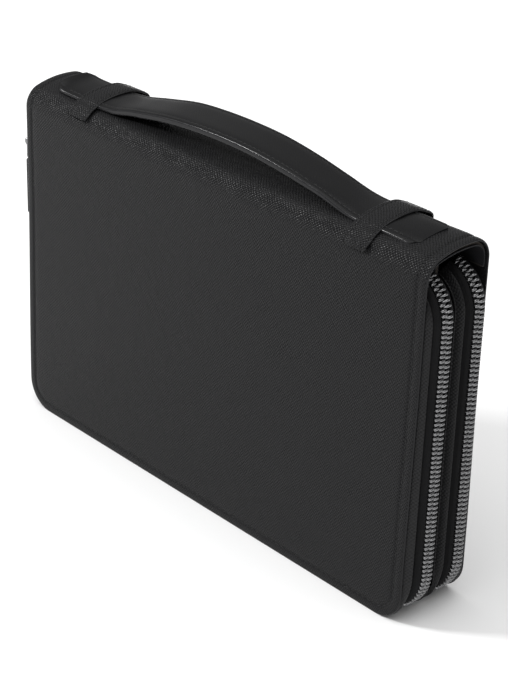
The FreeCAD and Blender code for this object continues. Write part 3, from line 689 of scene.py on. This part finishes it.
def chain_place(distance):
    """Point on the route, outward and forward directions at a distance along the chain."""
    for length, (x, z), degrees, radius in CHAIN_LEGS:
        if distance <= length + 1e-6:
            break
        distance -= length
    angle = math.radians(degrees) + (distance / (radius + CHAIN_LEVEL) if radius else 0.0)
    out = vec(math.cos(angle), 0, math.sin(angle))
    forward = vec(-math.sin(angle), 0, math.cos(angle))
    return vec(x, 0, z) + (out * radius if radius else forward * distance), out, forward


# The cord that the teeth are clamped on.
CORD_ACROSS = -2.35
CORD_RADIUS = 0.42

# One tooth from its root to the tip of its head: across, half thickness, inner and outer level.
TOOTH_RINGS = (
    (-3.0, 0.62, 3.15, 5.05), (-2.86, 0.88, 2.95, 5.32), (-2.5, 1.0, 2.9, 5.48),
    (-1.6, 1.0, 2.9, 5.5), (-0.75, 0.96, 2.9, 5.45), (-0.35, 0.82, 2.95, 5.2),
    (-0.1, 0.72, 3.1, 4.75), (0.55, 0.72, 3.15, 4.65), (0.95, 0.6, 3.3, 4.5), (1.1, 0.35, 3.6, 4.2),
)


def teeth(name, zip_sign, side):
    """One side of a zip: a tooth every pitch, clamped on the tape's cord."""
    build = Build()
    middle = vec(0, zip_sign * ZIP, 0)
    across = vec(0, -side, 0)
    offset = 0.8 if side == zip_sign else 0.8 + PITCH / 2
    for place in np.arange(offset, CHAIN_LENGTH - TOOTH / 2, PITCH):
        point, out, forward = chain_place(place)
        rings = []
        for a, share, low, high in TOOTH_RINGS:
            half = share * TOOTH / 2
            bevel = 0.22
            centre = point + middle + across * a
            corners = (
                (-half, low), (-half, high - bevel * 1.4), (-half + bevel, high - 0.12), (0, high),
                (half - bevel, high - 0.12), (half, high - bevel * 1.4), (half, low),
            )
            rings.append([centre + forward * f + out * n for f, n in corners])
        build.lattice(rings, wrap=True, cap=0)
    cord = []
    for station in np.arange(0.2, CHAIN_LENGTH - 0.2, 1.2):
        point, out, forward = chain_place(station)
        cord.append((point + middle, across, out))
    ring = [(CORD_ACROSS + x, CHAIN_LEVEL + z) for x, z in circle(CORD_RADIUS, 8)]
    build.sweep(cord, ring, slot=1, cap=1)
    return build.make(name, [TEETH, TAPE], sharp=50)


# ---- Handle

STRAP_HALF = 11.5       # half its width
STRAP_BASE = 3.0        # thickness that its section is drawn with, before STRAP_LINE's
DRAPE_RADIUS = 61.8     # radius of the strap's top where it lies on the spine
STRAP_EDGE = (
    (0.4, 0.5), (0.8, 0.28), (1.5, 0.16), (2.1, 0.22), (2.5, 0.32), (2.9, 0.22),
    (3.6, 0.08), (5.5, 0.0), (8.0, 0.0),
)
TAB_END = 119.8         # tips of the strap from the middle of the case
TAB_CUT = 3.8           # length of their clipped corners

# Along the strap: x, height of its top over the middle, how much higher its back edge is
# than its front edge, and its thickness.
STRAP_LINE = (
    (-120, 179.7, 0.0, 2.0), (-115.5, 178.4, 0.0, 2.0), (-108, 178.05, 0.0, 2.0), (-88, 178.1, 0.0, 2.0),
    (-81, 178.4, 0.1, 2.3), (-74, 179.1, 0.6, 3.0), (-60, 181.6, 1.4, 3.3), (-39, 185.25, 2.1, 3.3),
    (-20, 186.8, 1.9, 3.3), (0, 187.3, 1.5, 3.3), (20, 186.6, 1.2, 3.3), (40, 184.4, 0.5, 3.3),
    (59, 181.1, -0.2, 2.9), (71, 178.8, -0.6, 2.3), (79, 177.7, -0.3, 2.0), (86, 177.4, 0.0, 2.0),
    (100, 177.4, 0.0, 2.0), (120, 177.5, 0.0, 2.0),
)


def along_strap(x):
    """Height, tilt and thickness of the strap at x, on a smooth curve through STRAP_LINE."""
    table = np.array(STRAP_LINE)
    k = int(np.clip(np.searchsorted(table[:, 0], x, side="right"), 1, len(table) - 2))
    before, low, high, after = table[max(k - 2, 0)], table[k - 1], table[k], table[k + 1]
    span = high[0] - low[0]
    leaving = (high - before) / (high[0] - before[0]) * span
    arriving = (after - low) / (after[0] - low[0]) * span
    t = (x - low[0]) / span
    spot = (2 * t ** 3 - 3 * t ** 2 + 1) * low + (t ** 3 - 2 * t ** 2 + t) * leaving
    spot += (3 * t ** 2 - 2 * t ** 3) * high + (t ** 3 - t ** 2) * arriving
    return spot[1:]


def drape(x):
    """How much the strap follows the rounded top of the spine, from 0 to 1."""
    return ease((abs(x) - 60) / 26)


def tab_narrowing(x):
    """The clipped corners at the end of a tab."""
    return max(0.0, abs(x) - (TAB_END - TAB_CUT)) * 0.95


def strap_surface(stations_x, section):
    """Rows of points of the strap, its section bent over the spine near the keepers.

    The section's depths are those of a strap STRAP_BASE thick.
    """
    rows = []
    for x in stations_x:
        height, tilt, thick = along_strap(x)
        slope = (along_strap(x + 0.05)[0] - along_strap(x - 0.05)[0]) / 0.1
        out = unit(vec(-slope, 0, 1))
        share = drape(x)
        limit = STRAP_HALF - tab_narrowing(x)
        row = []
        for y, depth in section:
            y = max(-limit, min(limit, y))
            sag = -((y - CROWN[0]) ** 2) / (2 * DRAPE_RADIUS) * share + tilt * y / (2 * STRAP_HALF)
            row.append(vec(x, y, height + sag) - out * depth * (thick / STRAP_BASE))
        rows.append(row)
    return rows


def strap_piece(name, start, end):
    """The stretch of the strap from start to end, with its two rows of stitches."""
    build = Build()
    profile, slots = band(STRAP_HALF, STRAP_BASE, STRAP_EDGE, 0.4)
    section = [(a, -n) for a, n in profile]
    places = list(np.linspace(start, end, max(2, int(abs(end - start) / 1.6))))
    for tip in (start, end):
        if abs(tip) > 100:
            sign = math.copysign(1, tip)
            places += [sign * (TAB_END - c) for c in (TAB_CUT + 0.05, 2.4, 1.2, 0.6, 0.25)]
    places = sorted(set(round(p, 3) for p in places))
    rows = strap_surface(places, section)
    u = running([(a, n) for a, n in section + section[:1]]) - STRAP_HALF
    uv = np.stack(np.meshgrid(u, places), axis=-1)
    build.lattice(rows, uv=uv, slots=slots, wrap=True)
    for tip, row in ((start, rows[0]), (end, rows[-1])):
        if abs(tip) == TAB_END:
            build.polygon(row, 1)
    inner = [x for x in places if abs(x) < TAB_END - TAB_CUT - 1.5]
    for side in (-1, 1):
        line = [row[0] for row in strap_surface(inner, [(side * (STRAP_HALF - 2.5), 0.26)])]
        build.stitches(line, [vec(0, 0, 1)] * len(line), slot=2, pitch=3.0, thread=0.2)
    return build.make(name, [STRAP, EDGE_PAINT, THREAD_LOOK])


KEEPER_X = 93.5         # middle of a keeper from the middle of the case
KEEPER_HALF = 7.25      # half its width
KEEPER_THICK = 1.1
KEEPER_RAISED = 0.7     # how much higher the left one sits
KEEPER_EDGE = (
    (0.3, 0.26), (0.7, 0.12), (1.2, 0.1), (1.6, 0.2), (2.0, 0.24), (2.4, 0.2), (3.0, 0.06), (4.5, 0.0),
)

# Outer face of a keeper from its front foot to its back foot: y and z.
KEEPER_PATH = (
    (-20.4, 166.9), (-20.5, 168.6), (-19.7, 169.9), (-17.7, 171.2), (-15.2, 173.4), (-12.4, 174.9),
    (-10.5, 176.0), (-6.5, 177.2), (-0.6, 178.2), (5.3, 178.55), (10.1, 178.35), (12.7, 177.8),
    (16.5, 176.3), (19.6, 174.7), (20.8, 173.0), (20.75, 170.0), (20.5, 166.9),
)


def smooth_line(points, steps=6):
    """A Catmull-Rom line through points."""
    points = [np.array(p, float) for p in points]
    padded = [2 * points[0] - points[1]] + points + [2 * points[-1] - points[-2]]
    line = []
    for k in range(1, len(padded) - 2):
        a, b, c, d = padded[k - 1:k + 3]
        for t in np.linspace(0, 1, steps, endpoint=False):
            curved = (2 * a - 5 * b + 4 * c - d) * t ** 2 + (3 * b - a - 3 * c + d) * t ** 3
            line.append(0.5 * (2 * b + (c - a) * t + curved))
    line.append(points[-1])
    return line


def keeper(name, side):
    """The leather loop over the strap, its front foot cut on a slant and shorter on the left."""
    build = Build()
    section, slots = band(KEEPER_HALF, KEEPER_THICK, KEEPER_EDGE, 0.3)
    raised = KEEPER_RAISED if side < 0 else 0.0
    line = [p + np.array([0, raised]) for p in smooth_line(KEEPER_PATH)]
    if side < 0:
        line = line[10:]
    middle = side * KEEPER_X
    distance = running(line)
    length = distance[-1]
    rows = []
    stitched = []
    for k, (y, z) in enumerate(line):
        ahead = line[min(k + 1, len(line) - 1)] - line[max(k - 1, 0)]
        out = unit(vec(0, -ahead[1], ahead[0]))
        left = -KEEPER_HALF + max(0.0, 3.6 - distance[k]) * 0.75
        right = KEEPER_HALF - max(0.0, 1.2 - distance[k]) * 0.9
        rows.append([vec(middle + min(right, max(left, a)), y, z) + out * n for a, n in section])
        stitched.append((vec(0, y, z) - out * 0.2, out, distance[k]))
    u = running(section + section[:1]) + middle - KEEPER_HALF
    build.lattice(rows, uv=np.stack(np.meshgrid(u, distance), axis=-1), slots=slots, wrap=True, cap=1)
    for a in (-5.25, 5.25):
        row = [(p + vec(middle + a, 0, 0), o) for p, o, d in stitched if 4.0 < d < length - 2.0]
        build.stitches([p for p, o in row], [o for p, o in row], slot=2, pitch=2.7, thread=0.22)
    for near in (2.6, 11.5):
        p, o, d = min(stitched, key=lambda item: abs(item[2] - near))
        across = [p + vec(middle + a, 0, 0) for a in np.linspace(-4.6, 5.0, 9)]
        build.stitches(across, [o] * 9, slot=2, pitch=2.6, thread=0.22)
    return build.make(name, SEWN)


# ---- Sliders and pulls

def rounded_block(build, low, high, ease_by):
    """A box with all its edges rounded, as a squashed sphere."""
    steps = 4
    low, high = np.array(low, float), np.array(high, float)
    centre = (low + high) / 2
    core = (high - low) / 2 - ease_by
    rings = []
    lats = [math.radians(a) for a in (-90, -67, -45, -22, 0)]
    lats = lats + [-a for a in reversed(lats)]
    for k, lat in enumerate(lats):
        up = -1 if k < 5 else 1
        ring = []
        wide = math.cos(lat)
        for quarter, (sx, sy) in enumerate(((1, 1), (-1, 1), (-1, -1), (1, -1))):
            for t in range(steps + 1):
                lon = math.pi / 2 * (quarter + t / steps)
                ball = vec(wide * math.cos(lon), wide * math.sin(lon), math.sin(lat)) * ease_by
                ring.append(centre + np.array([sx, sy, up]) * core + ball)
        rings.append(ring)
    build.lattice(rings, wrap=True, cap=0)


def zip_box(build, zip_sign, levels, across, heights, ease_by):
    """A rounded block at the left end, its levels measured outwards from the zip's route."""
    low = (-(HALF + levels[1]), zip_sign * ZIP + across[0], heights[0])
    high = (-(HALF + levels[0]), zip_sign * ZIP + across[1], heights[1])
    rounded_block(build, low, high, ease_by)


SLIDER_LOW = 132.5      # height of the lower end of a slider
SLIDER_HALF = 4.4       # half the width of its plates
SLIDER_PLATE = (        # their outline: height over the lower end, half width
    (0, 3.1), (0.4, 3.7), (1.5, 4.1), (4, 4.4), (7.5, 4.4), (9.9, 4.2), (11.1, 3.6), (11.5, 2.9),
)
PIN = (8.9, 141.3)      # level and height of a puller's pin


def slider(name, zip_sign):
    """Two plates joined by side walls and a wedge, with a bridge for the puller."""
    build = Build()
    for low, high in ((5.75, 6.95), (1.45, 2.65)):
        plate = []
        for z, half in SLIDER_PLATE:
            centre = vec(-(HALF + (low + high) / 2), zip_sign * ZIP, SLIDER_LOW + z)
            plate.append((centre, vec(0, half / SLIDER_HALF, 0), vec(-1, 0, 0)))
        w, t = SLIDER_HALF, (high - low) / 2
        section = rounded([(-w, -t), (w, -t), (w, t), (-w, t)], 0.4, 4)
        build.sweep(plate, section)
    for side in (-1, 1):
        span = (SLIDER_LOW + 1.7, SLIDER_LOW + 10.3)
        zip_box(build, zip_sign, (4.8, 6.2), sorted((side * 3.35, side * 4.3)), span, 0.3)
        zip_box(build, zip_sign, (2.0, 3.2), sorted((side * 3.2, side * 3.9)), span, 0.25)
    zip_box(build, zip_sign, (1.8, 6.6), (-0.9, 0.9), (SLIDER_LOW + 8.2, SLIDER_LOW + 11.4), 0.3)
    bridge = []
    for angle in np.linspace(-0.25, math.pi + 0.25, 21):
        reach = 3.1 * math.cos(angle)
        level = 7.0 + 3.4 * math.sin(angle)
        out = unit(vec(-math.sin(angle), 0, math.cos(angle)))
        bridge.append((vec(-(HALF + level), zip_sign * ZIP, PIN[1] - 0.9 + reach), vec(0, 1, 0), out))
    build.sweep(bridge, rounded([(-1.35, -0.55), (1.35, -0.55), (1.35, 0.0), (-1.35, 0.0)], 0.25, 4))
    return build.make(name, [METAL])


def puller(name, zip_sign):
    """The metal fork that hangs on the bridge, and the tongue below it."""
    build = Build()
    level, height = PIN
    centre = vec(-(HALF + level), zip_sign * ZIP, height)
    pin = [(centre + vec(0, y, 0), vec(1, 0, 0), vec(0, 0, 1)) for y in (-2.6, -1.0, 1.0, 2.6)]
    build.sweep(pin, circle(0.78, 16))
    for side in (-1, 1):
        eye = []
        for y, s in ((1.75, 0.9), (1.9, 1.0), (2.65, 1.0), (2.8, 0.9)):
            eye.append((centre + vec(0, side * y, 0), vec(s, 0, 0), vec(0, 0, s)))
        build.sweep(eye, circle(1.85, 24))
        arm = sorted((side * 1.85, side * 2.8))
        zip_box(build, zip_sign, (level - 0.55, level + 0.55), arm, (height - 7.5, height - 0.8), 0.3)
    zip_box(build, zip_sign, (level - 0.6, level + 0.6), (-2.8, 2.8), (height - 8.4, height - 6.0), 0.35)
    zip_box(build, zip_sign, (level - 0.4, level + 0.4), (-1.9, 1.9), (height - 19.8, height - 7.6), 0.3)
    return build.make(name, [METAL])


PULL_EDGE = ((0.25, 0.22), (0.6, 0.1), (1.0, 0.14), (1.3, 0.18), (1.6, 0.12), (2.2, 0.0), (2.9, 0.0))


def leather_pull(name, zip_sign):
    """Two layers of leather sewn round the puller's tongue."""
    build = Build()
    level, height = PIN
    top = height - 9.0
    length, half, thick, corner = 30.0, 3.1, 1.0, 1.7
    outer, _ = band(half, thick, PULL_EDGE, 0.25)
    section = [(a, n + thick) for a, n in outer[:len(PULL_EDGE) * 2]]
    ring = section + [(a, -n) for a, n in reversed(section)]
    kinds = [0] * (len(section) - 1) + [1] + [0] * (len(section) - 1) + [1]
    rows = []
    for d in (0.0, 0.2, 0.5, 1.0, 1.7, 4, 8, 12, 16, 20, 24, 28.3, 29, 29.5, 29.8, 30.0):
        end = max(0.0, corner - d, d - (length - corner))
        limit = half - corner + math.sqrt(max(0.0, corner ** 2 - end ** 2))
        thin = 1.0 if 0.4 < d < length - 0.4 else 0.8
        row = []
        for a, n in ring:
            across = zip_sign * ZIP + max(-limit, min(limit, a))
            row.append(vec(-(HALF + level + n * thin), across, top - d))
        rows.append(row)
    build.lattice(rows, slots=kinds, wrap=True, cap=1)
    for face in (-1, 1):
        for side in (-1, 1):
            x, y = -(HALF + level + face * 0.85), zip_sign * ZIP + side * 1.9
            seam = [vec(x, y, top - d) for d in np.linspace(1.5, length - 1.5, 24)]
            build.stitches(seam, [vec(-face, 0, 0)] * len(seam), slot=2, pitch=2.4, thread=0.15)
    return build.make(name, SEWN)


# ---- Inside

# Distances from the middle of the case of a panel's outer face, the one nearest the cover.
LINING_FACE = FACE - SKIN - 1.4
POCKET_FACE = 16.1
LINING_THICK = 0.5
POCKET_THICK = 0.6


def sheet_panel(name, box, outer, thickness, radii, sign, materials, stitched=()):
    """A flat sewn panel with rounded edges, its face towards the inside of the case.

    box: its sides, base and top. radii: of its lower and its upper corners.
    """
    build = Build()
    low_x, high_x, low_z, high_z = box
    low_r, high_r = radii
    corners = (
        (low_x + low_r, low_z + low_r, low_r, 180), (high_x - low_r, low_z + low_r, low_r, 270),
        (high_x - high_r, high_z - high_r, high_r, 0), (low_x + high_r, high_z - high_r, high_r, 90),
    )

    def outline(d):
        points = []
        for x, z, r, start in corners:
            for k in range(9):
                angle = math.radians(start + 90 * k / 8)
                points.append((x + (r - d) * math.cos(angle), z + (r - d) * math.sin(angle)))
        return points + points[:1]

    small = min(0.25, thickness / 2.2)
    rings = (
        (small, 0.0), (0.08, small * 0.5), (0.0, thickness / 2), (0.08, thickness - small * 0.5),
        (small, thickness), (low_r * 0.8, thickness),
    )
    rows = [[vec(x, sign * (outer - depth), z) for x, z in outline(d)] for d, depth in rings]
    flat = [outline(d) for d, depth in rings]
    build.lattice(np.swapaxes(rows, 0, 1), uv=np.swapaxes(flat, 0, 1), slots=[1, 1, 1, 1, 0])
    build.polygon(rows[0][:-1])
    build.polygon(rows[-1][:-1])
    for line in stitched:
        path = [vec(x, sign * (outer - thickness), z) for x, z in line]
        build.stitches(path, [vec(0, -sign, 0)] * len(path), slot=2, pitch=3.0, thread=0.2)
    return build.make(name, materials)


def pocket(name, box, outer, sign):
    """A leather pocket sewn on down its sides and along its base, with a seam along its top."""
    low_x, high_x, low_z, high_z = box
    inset = 2.2
    line = [
        (low_x + inset, high_z - 1.5), (low_x + inset, low_z + inset),
        (high_x - inset, low_z + inset), (high_x - inset, high_z - 1.5),
    ]
    dense = []
    for a, b in zip(line, line[1:]):
        dense += [tuple(np.array(a) + (np.array(b) - np.array(a)) * t) for t in np.linspace(0, 1, 30)[:-1]]
    dense.append(line[-1])
    top = [(low_x + 2, high_z - 1.6), (high_x - 2, high_z - 1.6)]
    looks = [SMOOTH, EDGE_PAINT, THREAD_LOOK]
    return sheet_panel(name, box, outer, POCKET_THICK, (3.0, 3.0), sign, looks, stitched=(dense, top))


# ---- Putting it together

def show_cad(node, material, ease_by=None):
    """A CAD node that needs no new shape keeps its own, with a material and eased edges."""
    obj = frame["nodes"][node]
    obj.data.materials.clear()
    obj.data.materials.append(material)
    if ease_by:
        bevel = obj.modifiers.new("eased", "BEVEL")
        bevel.width = ease_by * MM
        bevel.segments = 2
        bevel.limit_method = "ANGLE"


def place(obj, body, slot, *nodes):
    """A piece that moves with one body and stands for the CAD nodes named."""
    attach(obj, body)
    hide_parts(*nodes)


def stretch(obj, first, second, start, end, slot, *nodes):
    """A piece with its placement baked into its mesh, which stands for the CAD nodes named."""
    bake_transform(obj)
    if nodes:
        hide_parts(*nodes)


# What each side of a zip is made of: name, maker, CAD node, slot and distance from the middle.
ZIP_PARTS = (
    ("gusset", gusset, "gusset", "gusset_leather", 18),
    ("tape", tape, "zip_tape", "zip_tape", 15),
    ("teeth", teeth, "zip_teeth", "zip_teeth", 12),
)

place(spine_leather(), "case", "grained_leather", "spine_leather")
for side_name, sign in (("front", -1), ("back", 1)):
    cover = side_name + "_cover"
    leather = cover_leather(cover + "_wrap", sign)
    fold = [(0, sign * FACE, FOLD + rise) for rise in (2.1, -2.1)]
    stretch(leather, "case", cover, *fold, "grained_leather", cover + "_leather")
    box = (-131, 131, 8.5, 153.9)
    looks = [LINING, LINING, THREAD_LOOK]
    lining = sheet_panel(cover + "_cloth", box, LINING_FACE, LINING_THICK, (16.4, 9.0), sign, looks)
    place(lining, cover, "lining", cover + "_lining")
    show_cad(cover + "_board", BOARD)
    for kind, make_piece, node, slot, depth in ZIP_PARTS:
        piece = make_piece(side_name + "_" + kind + "_outside", sign, sign)
        gone = [side_name + "_" + node + "_outer"] + ([node + "_top_ends"] if sign > 0 else [])
        fold = [(0, sign * depth, FOLD + rise) for rise in (2, -5)]
        stretch(piece, "case", cover, *fold, slot, *gone)
    for kind, make_piece, node, slot, depth in ZIP_PARTS:
        piece = make_piece(side_name + "_" + kind + "_inside", sign, -sign)
        place(piece, "case", slot, side_name + "_" + node + "_inner")
    metal = slider(side_name + "_slider_metal", sign)
    place(metal, side_name + "_slider", "zip_metal", side_name + "_zip_slider")
    metal = puller(side_name + "_puller_metal", sign)
    place(metal, side_name + "_pull", "zip_metal", side_name + "_zip_puller")
    pull = leather_pull(side_name + "_pull_tag", sign)
    place(pull, side_name + "_pull", "handle_leather", side_name + "_zip_pull_leather")

sleeve = pocket("front_cover_sleeve", (-118, 118, 12, 92), POCKET_FACE, -1)
place(sleeve, "front_cover", "pocket_leather", "front_cover_pocket")
for layer, high in enumerate((70, 62, 54)):
    number = "%d" % (layer + 1)
    face = POCKET_FACE - POCKET_THICK * layer
    sleeve = pocket("back_card_sleeve_" + number, (-112, -18, 16, high), face, 1)
    place(sleeve, "back_cover", "pocket_leather", "back_card_slot_" + number)
sleeve = pocket("divider_sleeve", (-110, 110, 12, 80), -1.1, 1)
place(sleeve, "case", "pocket_leather", "divider_pocket")
for node in ("divider_board", "spine_stiffener"):
    show_cad(node, BOARD)
for node in ("divider_lining_front", "divider_lining_back", "spine_lining"):
    show_cad(node, LINING)
for stop in ("zip_top_stops_inner", "front_zip_top_stop", "back_zip_top_stop", "zip_bottom_stops"):
    show_cad(stop, TEETH, 0.25)

place(keeper("left_loop", -1), "case", "grained_leather", "keeper_left")
place(keeper("right_loop", 1), "case", "grained_leather", "keeper_right")

# The strap in four pieces: name, ends, two bodies, a span along x between them, and CAD nodes.
STRAP_PARTS = (
    ("left_end", -TAB_END, -56, "left_tab", "left_strap", -82.5, -70, ("tab_left", "strap_left")),
    ("left_rise", -56, 0, "left_strap", "middle_strap", -50, -10, ("strap_middle",)),
    ("right_rise", 0, 56, "middle_strap", "right_strap", 10, 50, ()),
    ("right_end", 56, TAB_END, "right_strap", "right_tab", 70, 82.5, ("strap_right", "tab_right")),
)
for name, low, high, first, second, from_x, to_x, nodes in STRAP_PARTS:
    piece = strap_piece("strap_" + name, low, high)
    nodes = ["handle_" + node for node in nodes]
    stretch(piece, first, second, (from_x, 0, 180), (to_x, 0, 180), "handle_leather", *nodes)


# ---- Floor, light and camera

def floor():
    """A wide pale floor, which isn't part of the object."""
    mesh = bpy.data.meshes.new("floor")
    far = 6.0
    mesh.from_pydata([(-far, -far, 0), (far, -far, 0), (far, far, 0), (-far, far, 0)], [], [(0, 1, 2, 3)])
    n = Nodes("pale_floor")
    mesh.materials.append(n.set(Base_Color=(0.86, 0.86, 0.86), Roughness=0.8, Specular_IOR_Level=0.1))
    add_object("floor", mesh)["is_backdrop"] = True


def softbox(name, direction, distance, width, height, power):
    """A rectangular light in a direction from the case, turned towards it."""
    light = bpy.data.lights.new(name, "AREA")
    light.shape = "RECTANGLE"
    light.size = width
    light.size_y = height
    light.energy = power
    obj = add_object(name, light)
    aim = Vector((0, 0, 0.1))
    direction = Vector(direction).normalized()
    obj.location = aim + direction * distance
    obj.rotation_mode = "QUATERNION"
    obj.rotation_quaternion = (-direction).to_track_quat("-Z", "Y")


def world(strength):
    sky = bpy.data.worlds.new("studio")
    sky.use_nodes = True
    background = sky.node_tree.nodes["Background"]
    background.inputs["Color"].default_value = (1, 1, 1, 1)
    background.inputs["Strength"].default_value = strength
    bpy.context.scene.world = sky


def camera():
    """The photograph's viewpoint: from the front right and above, rolled a little."""
    forward = Vector((-0.65221, 0.61205, -0.44724)).normalized()
    level = forward.cross(Vector((0, 0, 1))).normalized()
    raised = level.cross(forward)
    roll = math.radians(1.81)
    right = level * math.cos(roll) + raised * math.sin(roll)
    up = right.cross(forward)
    data = bpy.data.cameras.new("camera")
    data.sensor_width = 36.0
    data.lens = 100.04
    data.clip_start, data.clip_end = 0.05, 50
    obj = add_object("camera", data)
    obj.matrix_world = Matrix((
        (right.x, up.x, -forward.x, 0.5839),
        (right.y, up.y, -forward.y, -0.5343),
        (right.z, up.z, -forward.z, 0.4782),
        (0, 0, 0, 1),
    ))
    bpy.context.scene.camera = obj


floor()
world(0.32)
softbox("key", (-0.62, -0.53, 0.52), 4.5, 0.75, 0.45, 170)
softbox("overhead", (0.1, -0.1, 1.0), 3.0, 4.5, 4.5, 118)
camera()
bpy.context.scene.view_settings.view_transform = "Standard"

low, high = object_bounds()
